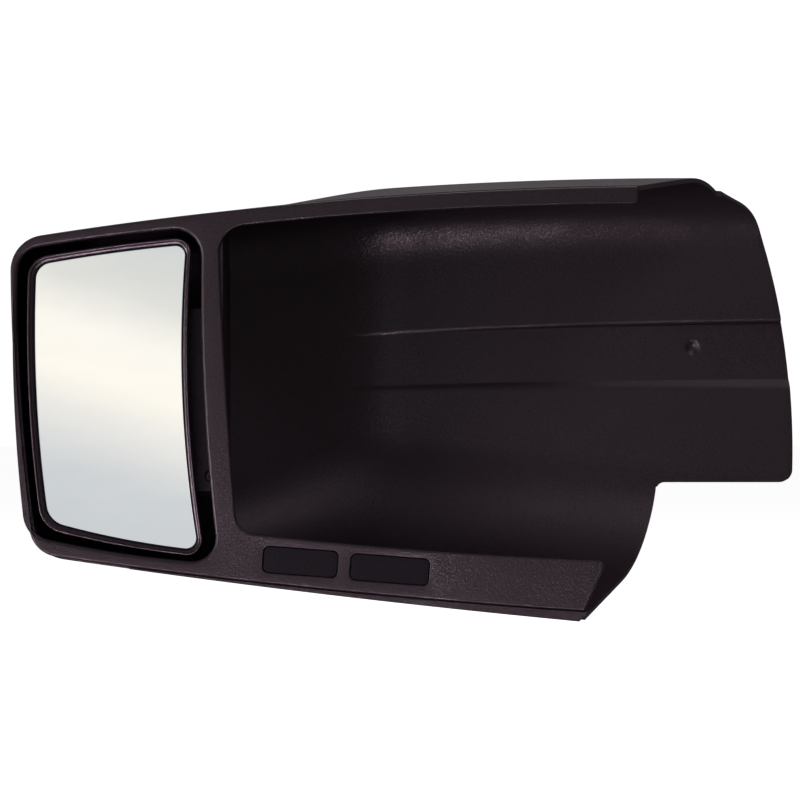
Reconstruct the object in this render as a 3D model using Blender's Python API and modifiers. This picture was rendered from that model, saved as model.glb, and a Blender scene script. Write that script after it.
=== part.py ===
"""A slip-on towing mirror for a pickup's door mirror, driver's side.

Metres. +X points inboard, towards the vehicle's door. +Y points forwards, away from the driver,
and +Z up. The reflecting face looks along -Y. The origin is at the middle of the face against which
the outboard end of the factory mirror head stops.
"""

import math

import bmesh
import bpy
from mathutils import Matrix, Vector

# ---- Driving dimensions -------------------------------------------------------------------------

GAP = 0.0003                # left between solids that touch
FACE_Y = -0.055             # the front plane of the face frame
WALL = 0.003                # thickness of the moulded shell
FACE_THICKNESS = 0.003

# Corners of outlines are (x, z, radius, bow). The bow is how far the edge from this corner to the
# next one swells to the left of its own direction.
FRAME_OUTLINE = [
    (-0.1362, 0.1026, 0.023, 0.0071),
    (0.2670, 0.1372, 0.0015, 0.0),
    (0.2665, 0.1256, 0.0030, -0.0034),
    (-0.0026, 0.1103, 0.018, -0.0012),
    (0.0093, -0.0846, 0.013, -0.0022),
    (0.2475, -0.1030, 0.004, 0.0),
    (0.2325, -0.1355, 0.001, 0.0033),
    (-0.1218, -0.0984, 0.020, 0.0031),
]
MIRROR_OPENING = [
    (-0.1310, 0.0960, 0.016, 0.0010),
    (-0.0134, 0.1110, 0.017, -0.0034),
    (-0.0025, -0.1050, 0.015, 0.0020),
    (-0.1240, -0.0870, 0.018, 0.0035),
]
HOLDER_OUTLINE = [
    (-0.1250, 0.0912, 0.015, 0.0010),
    (-0.0194, 0.1054, 0.010, -0.0058),
    (-0.0112, -0.1012, 0.010, 0.0018),
    (-0.1170, -0.0824, 0.019, 0.0036),
]
GLASS_OUTLINE = [
    (-0.1202, 0.0870, 0.011, 0.0010),
    (-0.0234, 0.1003, 0.0065, -0.0058),
    (-0.0154, -0.0970, 0.007, 0.0018),
    (-0.1123, -0.0782, 0.015, 0.0036),
]

# The shell: its rim at the face, and how it deepens and closes towards the back.
SHELL_END_X = 0.395
SHELL_CORNERS = [
    (SHELL_END_X, 0.1363, 0.0, -0.0123),
    (-0.1362, 0.1026, 0.023, -0.0031),
    (-0.1221, -0.0998, 0.026, -0.0048),
    (SHELL_END_X, -0.1562, 0.0, 0.0),
]
SILL_X = (-0.060, 0.2320)   # the sill below the face frame's lower edge
SILL_TIP = (0.2350, -0.1359)
SILL_FOOT_X = 0.2290
SILL_FRONT = 0.0010
SILL_BACK = 0.0046
OUTBOARD_DEPTH = 0.057
INBOARD_DEPTH = 0.117
DEEPENS_FROM_X = -0.060
DEEPENS_TO_X = 0.110
OUTBOARD_FILLET = 0.034
INBOARD_FILLET = 0.057
CORNER_GROWTH = 0.011       # the shell's corners are this much rounder at the back than at its rim
TOP_DRAFT = (0.05, -0.17)   # inward lean of the wall, at the outboard and at the inboard end
SIDE_DRAFT = 0.01
BOTTOM_DRAFT = (0.10, 0.41)

# The recessed band along the inside of the back wall. Rows run from 0 at the top to 1 at the bottom.
BAND_DEPTH = 0.0038
BAND_TOP_ROWS = (0.300, 0.312)
BAND_BOTTOM_ROWS = (0.545, 0.600)
BAND_GROWS_X = (0.050, 0.385)
BAND_X = (0.224, 0.385)             # at these two places
BAND_TOP_Z = (0.0538, 0.0566)       # the band's upper edge is this high
BAND_LOW_Z = (0.0135, 0.0145)       # and its lower edge this high

# How the shell's inboard end is trimmed.
FREE_EDGE = [
    (0.2900, 0.1621, 0.0, 0.0),
    (0.3575, 0.1306, 0.028, 0.0080),
    (0.3843, -0.0568, 0.009, 0.0),
    (0.2905, -0.0568, 0.006, 0.0),
    (0.2905, -0.2200, 0.0, 0.0),
    (0.4500, -0.2200, 0.0, 0.0),
    (0.4500, 0.2200, 0.0, 0.0),
    (0.2900, 0.2200, 0.0, 0.0),
]
TOP_END_X = (0.267, 0.329)          # at the face, and at TOP_END_DEPTH
TOP_END_DEPTH = 0.0935
BOTTOM_END_X = (0.231, 0.2915)       # at the face, and at the back wall
TOP_END_RUNS_ON = 0.006             # the top end's cut goes this much deeper on its way past the free edge
BOTTOM_END_RUNS_ON = 0.004
TOP_END_LOWEST_Z = 0.062            # each end's cut stops at this height
BOTTOM_END_HIGHEST_Z = -0.0598
BEYOND_X = 0.46                     # cutters reach out to these places, clear of the shell
BEYOND_Z = 0.24
BEYOND_BACK = 0.16
BEYOND_FRONT = -0.03
DIMPLE = (0.316, 0.036)
DIMPLE_RADIUS = 0.005
DIMPLE_DEPTH = 0.0018

# The rubber pads in the lower flange: middle x, middle z, length.
GRIP_PADS = {"grip_pad_outboard": (0.0501, -0.1038, 0.0483), "grip_pad_inboard": (0.1074, -0.1087, 0.0510)}
PAD_HEIGHT = 0.0175
PAD_CORNER = 0.004
PAD_TILT = math.radians(-4.4)
PAD_FACE_DEPTH = 0.0007
PAD_FLANGE = 0.0014
PAD_FOOT_THICKNESS = 0.0016
FACE_EDGE = 0.0007          # chamfer on the face frame's edges

# The glass and its pivot. Depths are measured from the face plane.
PIVOT_X = -0.0705
PIVOT_Z = 0.003
PIVOT_DEPTH = 0.0295
HOLDER_FRONT = 0.0035
GLASS_FRONT = 0.0047
GLASS_THICKNESS = 0.0022
PAD_THICKNESS = 0.0010
HOLDER_PLATE = 0.0022
HOLDER_PLATE_INSET = 0.0034         # lets the back corners clear the shell at both limits together
BALL_RADIUS = 0.009
TRUNNION_RADIUS = 0.0035
TRUNNION_REACH = 0.0146
TRUNNION_CLEARANCE = 0.00015
EAR_INSIDE = 0.0105
EAR_THICKNESS = 0.004
EAR_RADIUS = 0.006
PIVOT_PLATE_SIZE = (0.044, 0.040)
PIVOT_PLATE_THICKNESS = 0.0025
PIVOT_PLATE_DEPTH = 0.0153
PLATE_SCREWS = (0.017, 0.014)       # half spacings about the pivot
CARRIER_DEPTH = 0.0395
CARRIER_THICKNESS = 0.003
CARRIER_X = (-0.106, -0.0036)
CARRIER_HALF_HEIGHT = 0.060
CARRIER_SCREW_X = (-0.098, -0.0105)
CARRIER_SCREW_Z = 0.050
WASHER_THICKNESS = 0.0008

# Screws: (head radius, head height), shank radius, lengths, and the holes that take them.
CARRIER_SCREW_HEAD = (0.004, 0.0024)
CARRIER_SHANK = 0.0018
CARRIER_SCREW_LENGTHS = (0.0115, 0.0125)    # outboard, and inboard where they also pass the foot
CARRIER_HOLE = 0.0024
CARRIER_PILOT = 0.0022
BOSS_RADIUS = 0.0045
BOSS_SINKS = 0.0022                         # how far a boss goes into the back wall, short of its outside
PILOT_DEPTH = 0.010
PLATE_SCREW_HEAD = (0.003, 0.0016)
PLATE_SHANK = 0.0012
PLATE_SCREW_LENGTH = 0.0080
PLATE_HOLE = 0.0016
HOLDER_PILOT = 0.0015
HOLDER_PILOT_LENGTH = 0.0115
HOLDER_BOSS_RADIUS = 0.0036
THROUGH = 0.02                              # length of a cutter that goes right through a plate

BULKHEAD_FRONT = 0.0034
BULKHEAD_CLEARANCE = 0.0008
BULKHEAD_RIM_STEP = 0.002           # the bulkhead's front corners stay this much inside the shell's rim
BULKHEAD_FOOT_X = (-0.0170, -0.0015)

COLOURS = {
    "abs": ((0.022, 0.017, 0.019), 0.55, 0.0),
    "pocket_abs": ((0.012, 0.010, 0.012), 0.6, 0.0),
    "rubber": ((0.008, 0.006, 0.010), 0.8, 0.0),
    "acetal": ((0.70, 0.69, 0.65), 0.4, 0.0),
    "silvered_glass": ((0.85, 0.85, 0.83), 0.03, 1.0),
    "foam": ((0.03, 0.03, 0.03), 0.95, 0.0),
    "zinc_steel": ((0.55, 0.54, 0.50), 0.35, 1.0),
    "spring_steel": ((0.32, 0.32, 0.34), 0.3, 1.0),
}


# ---- Scene helpers ------------------------------------------------------------------------------

def clear_scene():
    for obj in list(bpy.data.objects):
        bpy.data.objects.remove(obj, do_unlink=True)


def new_collection(name):
    collection = bpy.data.collections.new(name)
    bpy.context.scene.collection.children.link(collection)
    return collection


def new_material(name):
    colour, roughness, metallic = COLOURS[name]
    material = bpy.data.materials.new(name)
    material.use_nodes = True
    shader = material.node_tree.nodes["Principled BSDF"]
    shader.inputs["Base Color"].default_value = (*colour, 1.0)
    shader.inputs["Roughness"].default_value = roughness
    shader.inputs["Metallic"].default_value = metallic
    return material


def as_part(obj, name, material):
    """Names an object, puts it with the parts and gives it its material."""
    obj.name = name
    obj.data.name = name
    move_to(obj, PARTS)
    obj.data.materials.clear()
    obj.data.materials.append(MATERIALS[material])
    obj.data.shade_smooth()
    obj.data.set_sharp_from_angle(angle=math.radians(35))
    return obj


def as_cutter(obj, name):
    obj.name = name
    obj.hide_render = True
    obj.display_type = "WIRE"
    move_to(obj, CUTTERS)
    return obj


def move_to(obj, collection):
    for old in list(obj.users_collection):
        old.objects.unlink(obj)
    collection.objects.link(obj)


def combine(obj, other, operation):
    """Adds a Boolean modifier. The other object becomes a helper."""
    modifier = obj.modifiers.new(other.name, "BOOLEAN")
    modifier.operation = operation
    modifier.object = other
    modifier.solver = "EXACT"
    return obj


def cut(obj, cutter):
    return combine(obj, as_cutter(cutter, cutter.name), "DIFFERENCE")


def join(obj, added):
    return combine(obj, as_cutter(added, added.name), "UNION")


def at_depth(depth):
    return FACE_Y + depth


# ---- Outlines -----------------------------------------------------------------------------------

def turned(direction, angle):
    return Matrix.Rotation(angle, 2) @ direction


def rounded_outline(corners, closed=True, corner_steps=4, edge_steps=7):
    """Points along an outline with bowed edges and round corners, and nothing sharp between them."""
    count = len(corners)
    spots = [Vector(corner[:2]) for corner in corners]
    leaving = []
    arriving = []
    for index, corner in enumerate(corners):
        chord = spots[(index + 1) % count] - spots[index]
        swing = math.atan(4 * corner[3] / chord.length)
        leaving.append(turned(chord.normalized(), swing))
        arriving.append(turned(chord.normalized(), -swing))
    arcs = []
    for index, corner in enumerate(corners):
        before = arriving[index - 1]
        after = leaving[index]
        if corner[2] == 0.0:
            arcs.append([spots[index]])
            continue
        turn = math.atan2(before.cross(after), before.dot(after))
        start = spots[index] - before * corner[2] * math.tan(abs(turn) / 2)
        centre = start + turned(before, math.copysign(math.pi / 2, turn)) * corner[2]
        steps = range(corner_steps + 1)
        arcs.append([centre + turned(start - centre, turn * step / corner_steps) for step in steps])
    points = []
    for index in range(count):
        points += arcs[index]
        if index == count - 1 and not closed:
            break
        start = arcs[index][-1]
        end = arcs[(index + 1) % count][0]
        steps = edge_steps if corners[index][3] else 1
        reach = (end - start).length / 3
        handles = (start, start + leaving[index] * reach, end - arriving[index] * reach, end)
        points += [bezier(handles, step / steps) for step in range(1, steps)]
    return points


def bezier(handles, t):
    a, b, c, d = handles
    s = 1 - t
    return a * s**3 + b * 3 * s * s * t + c * 3 * s * t * t + d * t**3


def inset(corners, amount):
    """The same outline moved inwards, for corners listed clockwise. A negative amount grows it."""
    count = len(corners)
    spots = [Vector(corner[:2]) for corner in corners]
    moved = []
    for index, (x, z, radius, bow) in enumerate(corners):
        before = (spots[index] - spots[index - 1]).normalized()
        after = (spots[(index + 1) % count] - spots[index]).normalized()
        half = math.atan2(before.cross(after), before.dot(after)) / 2
        inwards = turned((before + after).normalized(), -math.pi / 2)
        spot = spots[index] + inwards * amount / math.cos(half)
        moved.append((spot.x, spot.y, max(radius - amount, 0.001), bow))
    return moved


def prism(name, points, low, high, turn=None):
    """A flat outline extruded between two heights, as a mesh. The outline is in X and Z, and the
    heights are in Y, unless turn says otherwise."""
    curve = bpy.data.curves.new(name, "CURVE")
    curve.dimensions = "2D"
    curve.fill_mode = "BOTH"
    curve.extrude = (high - low) / 2
    spline = curve.splines.new("POLY")
    spline.points.add(len(points) - 1)
    for spot, point in zip(spline.points, points):
        spot.co = (point[0], point[1], 0.0, 1.0)
    spline.use_cyclic_u = True
    outline = bpy.data.objects.new(name + "_curve", curve)
    PARTS.objects.link(outline)
    if turn is None:
        turn = Matrix(((1, 0, 0, 0), (0, 0, -1, 0), (0, 1, 0, 0), (0, 0, 0, 1)))
        middle = Matrix.Translation((0, (low + high) / 2, 0))
    else:
        middle = Matrix.Translation(turn @ Vector((0, 0, (low + high) / 2)))
    outline.matrix_world = middle @ turn
    return meshed(outline, name)


def meshed(curve_object, name):
    """A mesh object in place of a curve object, its caps welded."""
    bpy.context.view_layer.update()
    graph = bpy.context.evaluated_depsgraph_get()
    mesh = bpy.data.meshes.new_from_object(curve_object.evaluated_get(graph))
    mesh.transform(curve_object.matrix_world)
    shape = bmesh.new()
    shape.from_mesh(mesh)
    bmesh.ops.remove_doubles(shape, verts=shape.verts, dist=0.00001)
    bmesh.ops.recalc_face_normals(shape, faces=shape.faces)
    shape.to_mesh(mesh)
    shape.free()
    bpy.data.objects.remove(curve_object, do_unlink=True)
    obj = bpy.data.objects.new(name, mesh)
    PARTS.objects.link(obj)
    return obj


def box(name, low, high):
    shape = bmesh.new()
    size = Vector(high) - Vector(low)
    centre = (Vector(high) + Vector(low)) / 2
    bmesh.ops.create_cube(shape, size=1.0, matrix=Matrix.Translation(centre) @ Matrix.Diagonal((*size, 1)))
    return solid(name, shape)


def cylinder(name, centre, axis, radius, length, sides=24):
    shape = bmesh.new()
    turn = Vector((0, 0, 1)).rotation_difference(Vector(axis)).to_matrix().to_4x4()
    bmesh.ops.create_cone(
        shape,
        cap_ends=True,
        segments=sides,
        radius1=radius,
        radius2=radius,
        depth=length,
        matrix=Matrix.Translation(centre) @ turn,
    )
    return solid(name, shape)


def cone(name, mouth, radius, depth):
    """A cone that narrows along +Y, for a dimple. It starts as far in front of its mouth as it is deep."""
    shape = bmesh.new()
    turn = Matrix.Rotation(math.radians(-90), 4, "X")
    bmesh.ops.create_cone(
        shape,
        cap_ends=True,
        segments=24,
        radius1=radius * 1.8,
        radius2=radius * 0.2,
        depth=2 * depth,
        matrix=Matrix.Translation(mouth) @ turn,
    )
    return solid(name, shape)


def solid(name, shape):
    mesh = bpy.data.meshes.new(name)
    shape.to_mesh(mesh)
    shape.free()
    obj = bpy.data.objects.new(name, mesh)
    PARTS.objects.link(obj)
    return obj


def turned_part(name, profile, centre, axis, steps=20):
    """A profile of (radius, height) pairs, from the top of its outer side to the bottom, spun about
    an axis through the centre."""
    mesh = bpy.data.meshes.new(name)
    closed = profile[0][0] > 0
    edges = [(index, index + 1) for index in range(len(profile) - 1)]
    if closed:
        edges.append((len(profile) - 1, 0))
    mesh.from_pydata([(radius, 0.0, height) for radius, height in profile], edges, [])
    obj = bpy.data.objects.new(name, mesh)
    PARTS.objects.link(obj)
    spin = obj.modifiers.new("spin", "SCREW")
    spin.steps = steps
    spin.render_steps = steps
    spin.use_merge_vertices = True
    spin.merge_threshold = 0.00001
    obj.rotation_mode = "QUATERNION"
    obj.rotation_quaternion = Vector((0, 0, 1)).rotation_difference(Vector(axis))
    obj.location = centre
    return obj


# ---- The face frame and its pads ----------------------------------------------------------------

def pad_outline(name, grow):
    x, z, length = GRIP_PADS[name]
    half = Vector((length / 2 + grow, PAD_HEIGHT / 2 + grow))
    signs = ((-1, 1), (1, 1), (1, -1), (-1, -1))
    corners = []
    for side, rise in signs:
        spot = turned(Vector((side * half.x, rise * half.y)), PAD_TILT) + Vector((x, z))
        corners.append((spot.x, spot.y, PAD_CORNER + grow, 0.0))
    return rounded_outline(corners)


def face_frame():
    """The flat C-shaped face, with the mirror opening and the two pad holes."""
    back = at_depth(FACE_THICKNESS)
    frame = prism("face_frame", rounded_outline(FRAME_OUTLINE), FACE_Y, back)
    opening = rounded_outline(MIRROR_OPENING)
    cut(frame, prism("mirror_opening", opening, at_depth(-0.01), at_depth(0.03)))
    for name in GRIP_PADS:
        cut(frame, prism(name + "_hole", pad_outline(name, 0.0), at_depth(-0.01), at_depth(0.01)))
    edges = frame.modifiers.new("soft_edges", "BEVEL")
    edges.width = FACE_EDGE
    edges.segments = 1
    edges.limit_method = "ANGLE"
    edges.angle_limit = math.radians(60)
    return as_part(frame, "face_frame", "abs")


def grip_pads():
    """Rubber plugs pushed through the lower flange from behind, each with a wider foot."""
    for name in GRIP_PADS:
        front = at_depth(PAD_FACE_DEPTH)
        foot = at_depth(FACE_THICKNESS + GAP)
        pad = prism(name, pad_outline(name, -GAP), front, foot + PAD_FOOT_THICKNESS / 2)
        join(pad, prism(name + "_foot", pad_outline(name, PAD_FLANGE), foot, foot + PAD_FOOT_THICKNESS))
        as_part(pad, name, "rubber")


# ---- The shell ----------------------------------------------------------------------------------

def smooth(value, low, high):
    t = min(max((value - low) / (high - low), 0.0), 1.0)
    return t * t * (3 - 2 * t)


def between(pair, t):
    return pair[0] + (pair[1] - pair[0]) * t


def shell_depth(x):
    return between((OUTBOARD_DEPTH, INBOARD_DEPTH), smooth(x, DEEPENS_FROM_X, DEEPENS_TO_X))


def shell_step(x, level):
    """(depth, fillet offset) at one level of the wall. Level 0 is at the face plane, 1 is where the
    fillet starts and 2 is where it meets the back wall."""
    depth = shell_depth(x)
    fillet = between((OUTBOARD_FILLET, INBOARD_FILLET), smooth(x, DEEPENS_FROM_X, DEEPENS_TO_X))
    if level <= 1:
        return (depth - fillet) * level, 0.0
    angle = (level - 1) * math.pi / 2
    return depth - fillet * (1 - math.sin(angle)), fillet * (1 - math.cos(angle))


def shell_inset(x, level, drafts):
    depth, offset = shell_step(x, level)
    return between(drafts, smooth(x, DEEPENS_FROM_X, DEEPENS_TO_X)) * depth + offset


def shell_ring(level, corner_steps, edge_steps):
    """One ring of the shell, from the top of its inboard end round to the bottom of it."""
    outboard = SHELL_CORNERS[1][0]
    side = shell_inset(outboard, level, (SIDE_DRAFT, SIDE_DRAFT))
    top = shell_inset(outboard, level, TOP_DRAFT)
    bottom = shell_inset(outboard, level, BOTTOM_DRAFT)
    moves = ((0.0, -top), (side, -top), (side, bottom), (0.0, bottom))
    corners = []
    for (x, z, radius, bow), (right, up) in zip(SHELL_CORNERS, moves):
        growth = CORNER_GROWTH * level / 2 if radius else 0.0
        corners.append((x + right, z + up, radius + growth, bow))
    ring = []
    for spot in rounded_outline(corners, False, corner_steps, edge_steps):
        extra_top = shell_inset(spot.x, level, TOP_DRAFT) - top
        extra_bottom = shell_inset(spot.x, level, BOTTOM_DRAFT) - bottom
        z = spot.y - extra_top if spot.y > 0 else spot.y + extra_bottom
        ring.append(Vector((spot.x, at_depth(shell_step(spot.x, level)[0]), z)))
    return ring


def band_depth(x, row):
    """How far the recessed band pushes the back wall out."""
    low, high = BAND_GROWS_X
    across = smooth(row, *BAND_TOP_ROWS) * (1 - smooth(row, *BAND_BOTTOM_ROWS))
    return BAND_DEPTH * across * min(max((x - low) / (high - low), 0.0), 1.0)


def band_share(x, row, top_z, bottom_z):
    """How far down the back wall a row lies, for the wall's heights at one x. It keeps the band's
    two edges straight."""
    along = (x - BAND_X[0]) / (BAND_X[1] - BAND_X[0])
    height = top_z - bottom_z
    upper = (top_z - between(BAND_TOP_Z, along)) / height
    lower = (top_z - between(BAND_LOW_Z, along)) / height
    rows = (0.0, BAND_TOP_ROWS[0], BAND_BOTTOM_ROWS[0], 1.0)
    shares = (0.0, upper, lower, 1.0)
    place = 0
    while place < 2 and row > rows[place + 1]:
        place += 1
    t = (row - rows[place]) / (rows[place + 1] - rows[place])
    return between(shares[place : place + 2], t)


def shell_surface(levels, rows, corner_steps, edge_steps):
    """The outer surface: rings down the walls, then a grid of rows over the back."""
    shape = bmesh.new()
    rings = []
    for level in levels:
        rings.append([shape.verts.new(spot) for spot in shell_ring(level, corner_steps, edge_steps)])
    for outer, inner in zip(rings, rings[1:]):
        for index in range(len(outer) - 1):
            shape.faces.new((outer[index], outer[index + 1], inner[index + 1], inner[index]))
    last = rings[-1]
    across = len(rows) - 1
    along = (len(last) - 1 - across) // 2
    top = last[: along + 1]
    left = last[along : along + across + 1]
    bottom = last[along + across :][::-1]
    grid = [top]
    for row in range(1, across):
        share = rows[row]
        down = band_share(top[-1].co.x, share, top[-1].co.z, bottom[-1].co.z)
        straight_left = top[-1].co.lerp(bottom[-1].co, down)
        line = []
        for column in range(along):
            pull = (column / along) ** 3
            high = top[column].co
            low = bottom[column].co
            spot = high.lerp(low, band_share(high.x, share, high.z, low.z))
            spot += (left[row].co - straight_left) * pull
            spot.y = at_depth(shell_depth(spot.x) + band_depth(spot.x, share))
            line.append(shape.verts.new(spot))
        grid.append(line + [left[row]])
    grid.append(bottom)
    for upper, lower in zip(grid, grid[1:]):
        for column in range(along):
            shape.faces.new((upper[column], upper[column + 1], lower[column + 1], lower[column]))
    bmesh.ops.recalc_face_normals(shape, faces=shape.faces)
    middle = min(shape.faces, key=lambda face: (face.calc_center_median() - Vector((0.2, 0.06, 0))).length)
    if middle.normal.y < 0:
        bmesh.ops.reverse_faces(shape, faces=shape.faces)
    return solid("back_shell", shape)


def shell_trims():
    """Cutters for the rim that meets the face frame, for the back wall's free edge, and for the
    slanting ends of the top and bottom walls, which are outlines in plan."""
    plan = Matrix.Identity(4)
    rim = at_depth(FACE_THICKNESS + GAP)
    front = at_depth(BEYOND_FRONT)
    back = at_depth(BEYOND_BACK)
    yield box("rim_trim", (-BEYOND_X, front, -BEYOND_Z), (BEYOND_X, rim, BEYOND_Z))
    yield prism("free_edge_trim", rounded_outline(FREE_EDGE), front, back)
    top = [
        (TOP_END_X[0], at_depth(0)),
        (TOP_END_X[1], at_depth(TOP_END_DEPTH)),
        (BEYOND_X, at_depth(TOP_END_DEPTH + TOP_END_RUNS_ON)),
        (BEYOND_X, front),
        (TOP_END_X[0], front),
    ]
    yield prism("top_end_trim", top, TOP_END_LOWEST_Z, BEYOND_Z, plan)
    bottom = [
        (BOTTOM_END_X[0], front),
        (BOTTOM_END_X[0], at_depth(0)),
        (BOTTOM_END_X[1], at_depth(INBOARD_DEPTH)),
        (BOTTOM_END_X[1] + BOTTOM_END_RUNS_ON, back),
        (BEYOND_X, back),
        (BEYOND_X, front),
    ]
    yield prism("bottom_end_trim", bottom, -BEYOND_Z, BOTTOM_END_HIGHEST_Z, plan)


def outline_z(points, x, low):
    """Where an outline crosses one x, at its lowest or at its highest."""
    crossings = []
    for start, end in zip(points, points[1:] + points[:1]):
        if min(start.x, end.x) <= x < max(start.x, end.x):
            crossings.append(start.y + (end.y - start.y) * (x - start.x) / (end.x - start.x))
    return min(crossings) if low else max(crossings)


def sill():
    """The shell's lip along the foot of the face frame. It fills the strip between the two outlines."""
    frame = rounded_outline(FRAME_OUTLINE)
    shell = rounded_outline(SHELL_CORNERS, edge_steps=14)
    steps = 12
    upper = []
    lower = []
    for step in range(steps + 1):
        x = between(SILL_X, step / steps)
        foot_x = between((SILL_X[0], SILL_FOOT_X), step / steps)
        upper.append((x, outline_z(frame, x, True) - GAP))
        lower.append((foot_x, outline_z(shell, foot_x, True) + 0.0002))
    upper.append(SILL_TIP)
    # Behind the face frame the lip reaches up into the shell's wall, which leans inwards.
    return prism("sill", upper + lower[::-1], at_depth(SILL_FRONT), at_depth(SILL_BACK))


def back_shell():
    levels = [0, 0.5, 1, 1.3, 1.6, 1.8, 2]
    rows = [0, 0.12, 0.22, *BAND_TOP_ROWS, 0.43, *BAND_BOTTOM_ROWS, 0.75, 0.88, 1]
    shell = shell_surface(levels, rows, 6, 14)
    skin = shell.modifiers.new("wall", "SOLIDIFY")
    skin.thickness = WALL
    skin.offset = -1
    skin.use_even_offset = True
    for trim in shell_trims():
        cut(shell, trim)
    inner = shell_depth(DIMPLE[0]) + band_depth(DIMPLE[0], BAND_TOP_ROWS[1]) - WALL
    cut(shell, cone("dimple", (DIMPLE[0], at_depth(inner), DIMPLE[1]), DIMPLE_RADIUS, DIMPLE_DEPTH))
    join(shell, sill())
    for x, z, front in carrier_screw_spots():
        back = shell_depth(x) - BOSS_SINKS
        if x > PIVOT_X:
            front += GAP + CARRIER_THICKNESS
            back -= GAP
        middle = (x, at_depth((front + back) / 2), z)
        join(shell, cylinder("boss", middle, (0, 1, 0), BOSS_RADIUS, back - front, 16))
    for x, z, front in carrier_screw_spots():
        start = CARRIER_DEPTH
        middle = (x, at_depth((start + front + PILOT_DEPTH) / 2), z)
        cut(shell, cylinder("pilot", middle, (0, 1, 0), CARRIER_PILOT, front + PILOT_DEPTH - start, 12))
    return as_part(shell, "back_shell", "abs")


# ---- The bulkhead and the pivot carrier ---------------------------------------------------------

def carrier_screw_spots():
    """(x, z, depth of the seat behind the carrier plate) of the four carrier screws."""
    seat = CARRIER_DEPTH + CARRIER_THICKNESS + GAP
    for x in CARRIER_SCREW_X:
        for rise in (1, -1):
            yield x, rise * CARRIER_SCREW_Z, seat


def section_inside(x, drafts, rim_z, inwards, levels):
    """(depth, z) points just inside the wall at one x, from the rim to the back wall."""
    clear = WALL + BULKHEAD_CLEARANCE
    points = []
    for level in levels:
        depth = shell_step(x, level)[0]
        share = max(level - 1, 0.0)
        lift = shell_inset(x, level, drafts) + clear * (1 - share) ** 0.5
        points.append((depth - clear * min(2 * share, 1.0), rim_z + inwards * lift))
    return points


def bulkhead():
    """The wall between the glass's pocket and the sleeve, on a foot that the carrier screws hold."""
    x = -WALL
    levels = (1, 1.25, 1.5, 1.75, 2)
    rim = sorted(shell_ring(0, 6, 14), key=lambda spot: abs(spot.x - x))
    top_rim = next(spot.z for spot in rim if spot.z > 0)
    bottom_rim = next(spot.z for spot in rim if spot.z < 0)
    top = section_inside(x, TOP_DRAFT, top_rim - BULKHEAD_RIM_STEP, -1, levels)
    bottom = section_inside(x, BOTTOM_DRAFT, bottom_rim + BULKHEAD_RIM_STEP, 1, levels)
    inside = BULKHEAD_RIM_STEP + WALL + BULKHEAD_CLEARANCE
    front_top = top_rim - inside
    front_bottom = bottom_rim + inside
    outline = [(BULKHEAD_FRONT, front_top)] + top + bottom[::-1] + [(BULKHEAD_FRONT, front_bottom)]
    side_on = Matrix(((0, 0, 1, 0), (1, 0, 0, 0), (0, 1, 0, 0), (0, 0, 0, 1)))
    points = [(at_depth(depth), z) for depth, z in outline]
    wall = prism("bulkhead", points, -WALL, 0.0, side_on)
    seat = CARRIER_DEPTH + CARRIER_THICKNESS + GAP
    low = (BULKHEAD_FOOT_X[0], at_depth(seat), -CARRIER_HALF_HEIGHT)
    high = (BULKHEAD_FOOT_X[1], at_depth(seat + CARRIER_THICKNESS), CARRIER_HALF_HEIGHT)
    join(wall, box("bulkhead_foot", low, high))
    for rise in (1, -1):
        spot = (CARRIER_SCREW_X[1], at_depth(seat), rise * CARRIER_SCREW_Z)
        cut(wall, cylinder("foot_hole", spot, (0, 1, 0), CARRIER_HOLE, THROUGH, 12))
    return as_part(wall, "bulkhead", "pocket_abs")


def ear(name, axis, side, base_depth):
    """One ear of a yoke: a block with a round end about the pivot."""
    centre = Vector((PIVOT_X, at_depth(PIVOT_DEPTH), PIVOT_Z))
    along = Vector(axis)
    across = Vector((1, 0, 1)) - along
    middle = centre + along * side * (EAR_INSIDE + EAR_THICKNESS / 2)
    block_middle = middle.copy()
    block_middle.y = (middle.y + at_depth(base_depth)) / 2
    half = along * EAR_THICKNESS / 2 + across * EAR_RADIUS
    half.y = abs(middle.y - at_depth(base_depth)) / 2
    block = box(name, block_middle - half, block_middle + half)
    return block, cylinder(name + "_end", middle, axis, EAR_RADIUS, EAR_THICKNESS)


def add_yoke(obj, name, axis, base_depth):
    """Adds two ears with one bored line through them."""
    for side in (1, -1):
        block, end = ear(name, axis, side, base_depth)
        join(obj, block)
        join(obj, end)
    centre = (PIVOT_X, at_depth(PIVOT_DEPTH), PIVOT_Z)
    bore = cylinder(name + "_bore", centre, axis, TRUNNION_RADIUS + TRUNNION_CLEARANCE, 0.04, 32)
    cut(obj, bore)


def carrier_plate():
    """The plate behind the glass that carries the pivot's fixed yoke."""
    low, high = CARRIER_X
    tall = CARRIER_HALF_HEIGHT
    corners = [(low, tall), (high, tall), (high, -tall), (low, -tall)]
    outline = rounded_outline([(x, z, 0.006, 0.0) for x, z in corners])
    back = CARRIER_DEPTH + CARRIER_THICKNESS
    plate = prism("carrier_plate", outline, at_depth(CARRIER_DEPTH), at_depth(back))
    add_yoke(plate, "fixed_ear", (0, 0, 1), CARRIER_DEPTH + 0.001)
    for x, z, _ in carrier_screw_spots():
        spot = (x, at_depth(CARRIER_DEPTH), z)
        cut(plate, cylinder("carrier_hole", spot, (0, 1, 0), CARRIER_HOLE, THROUGH, 12))
    return as_part(plate, "carrier_plate", "pocket_abs")


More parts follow.
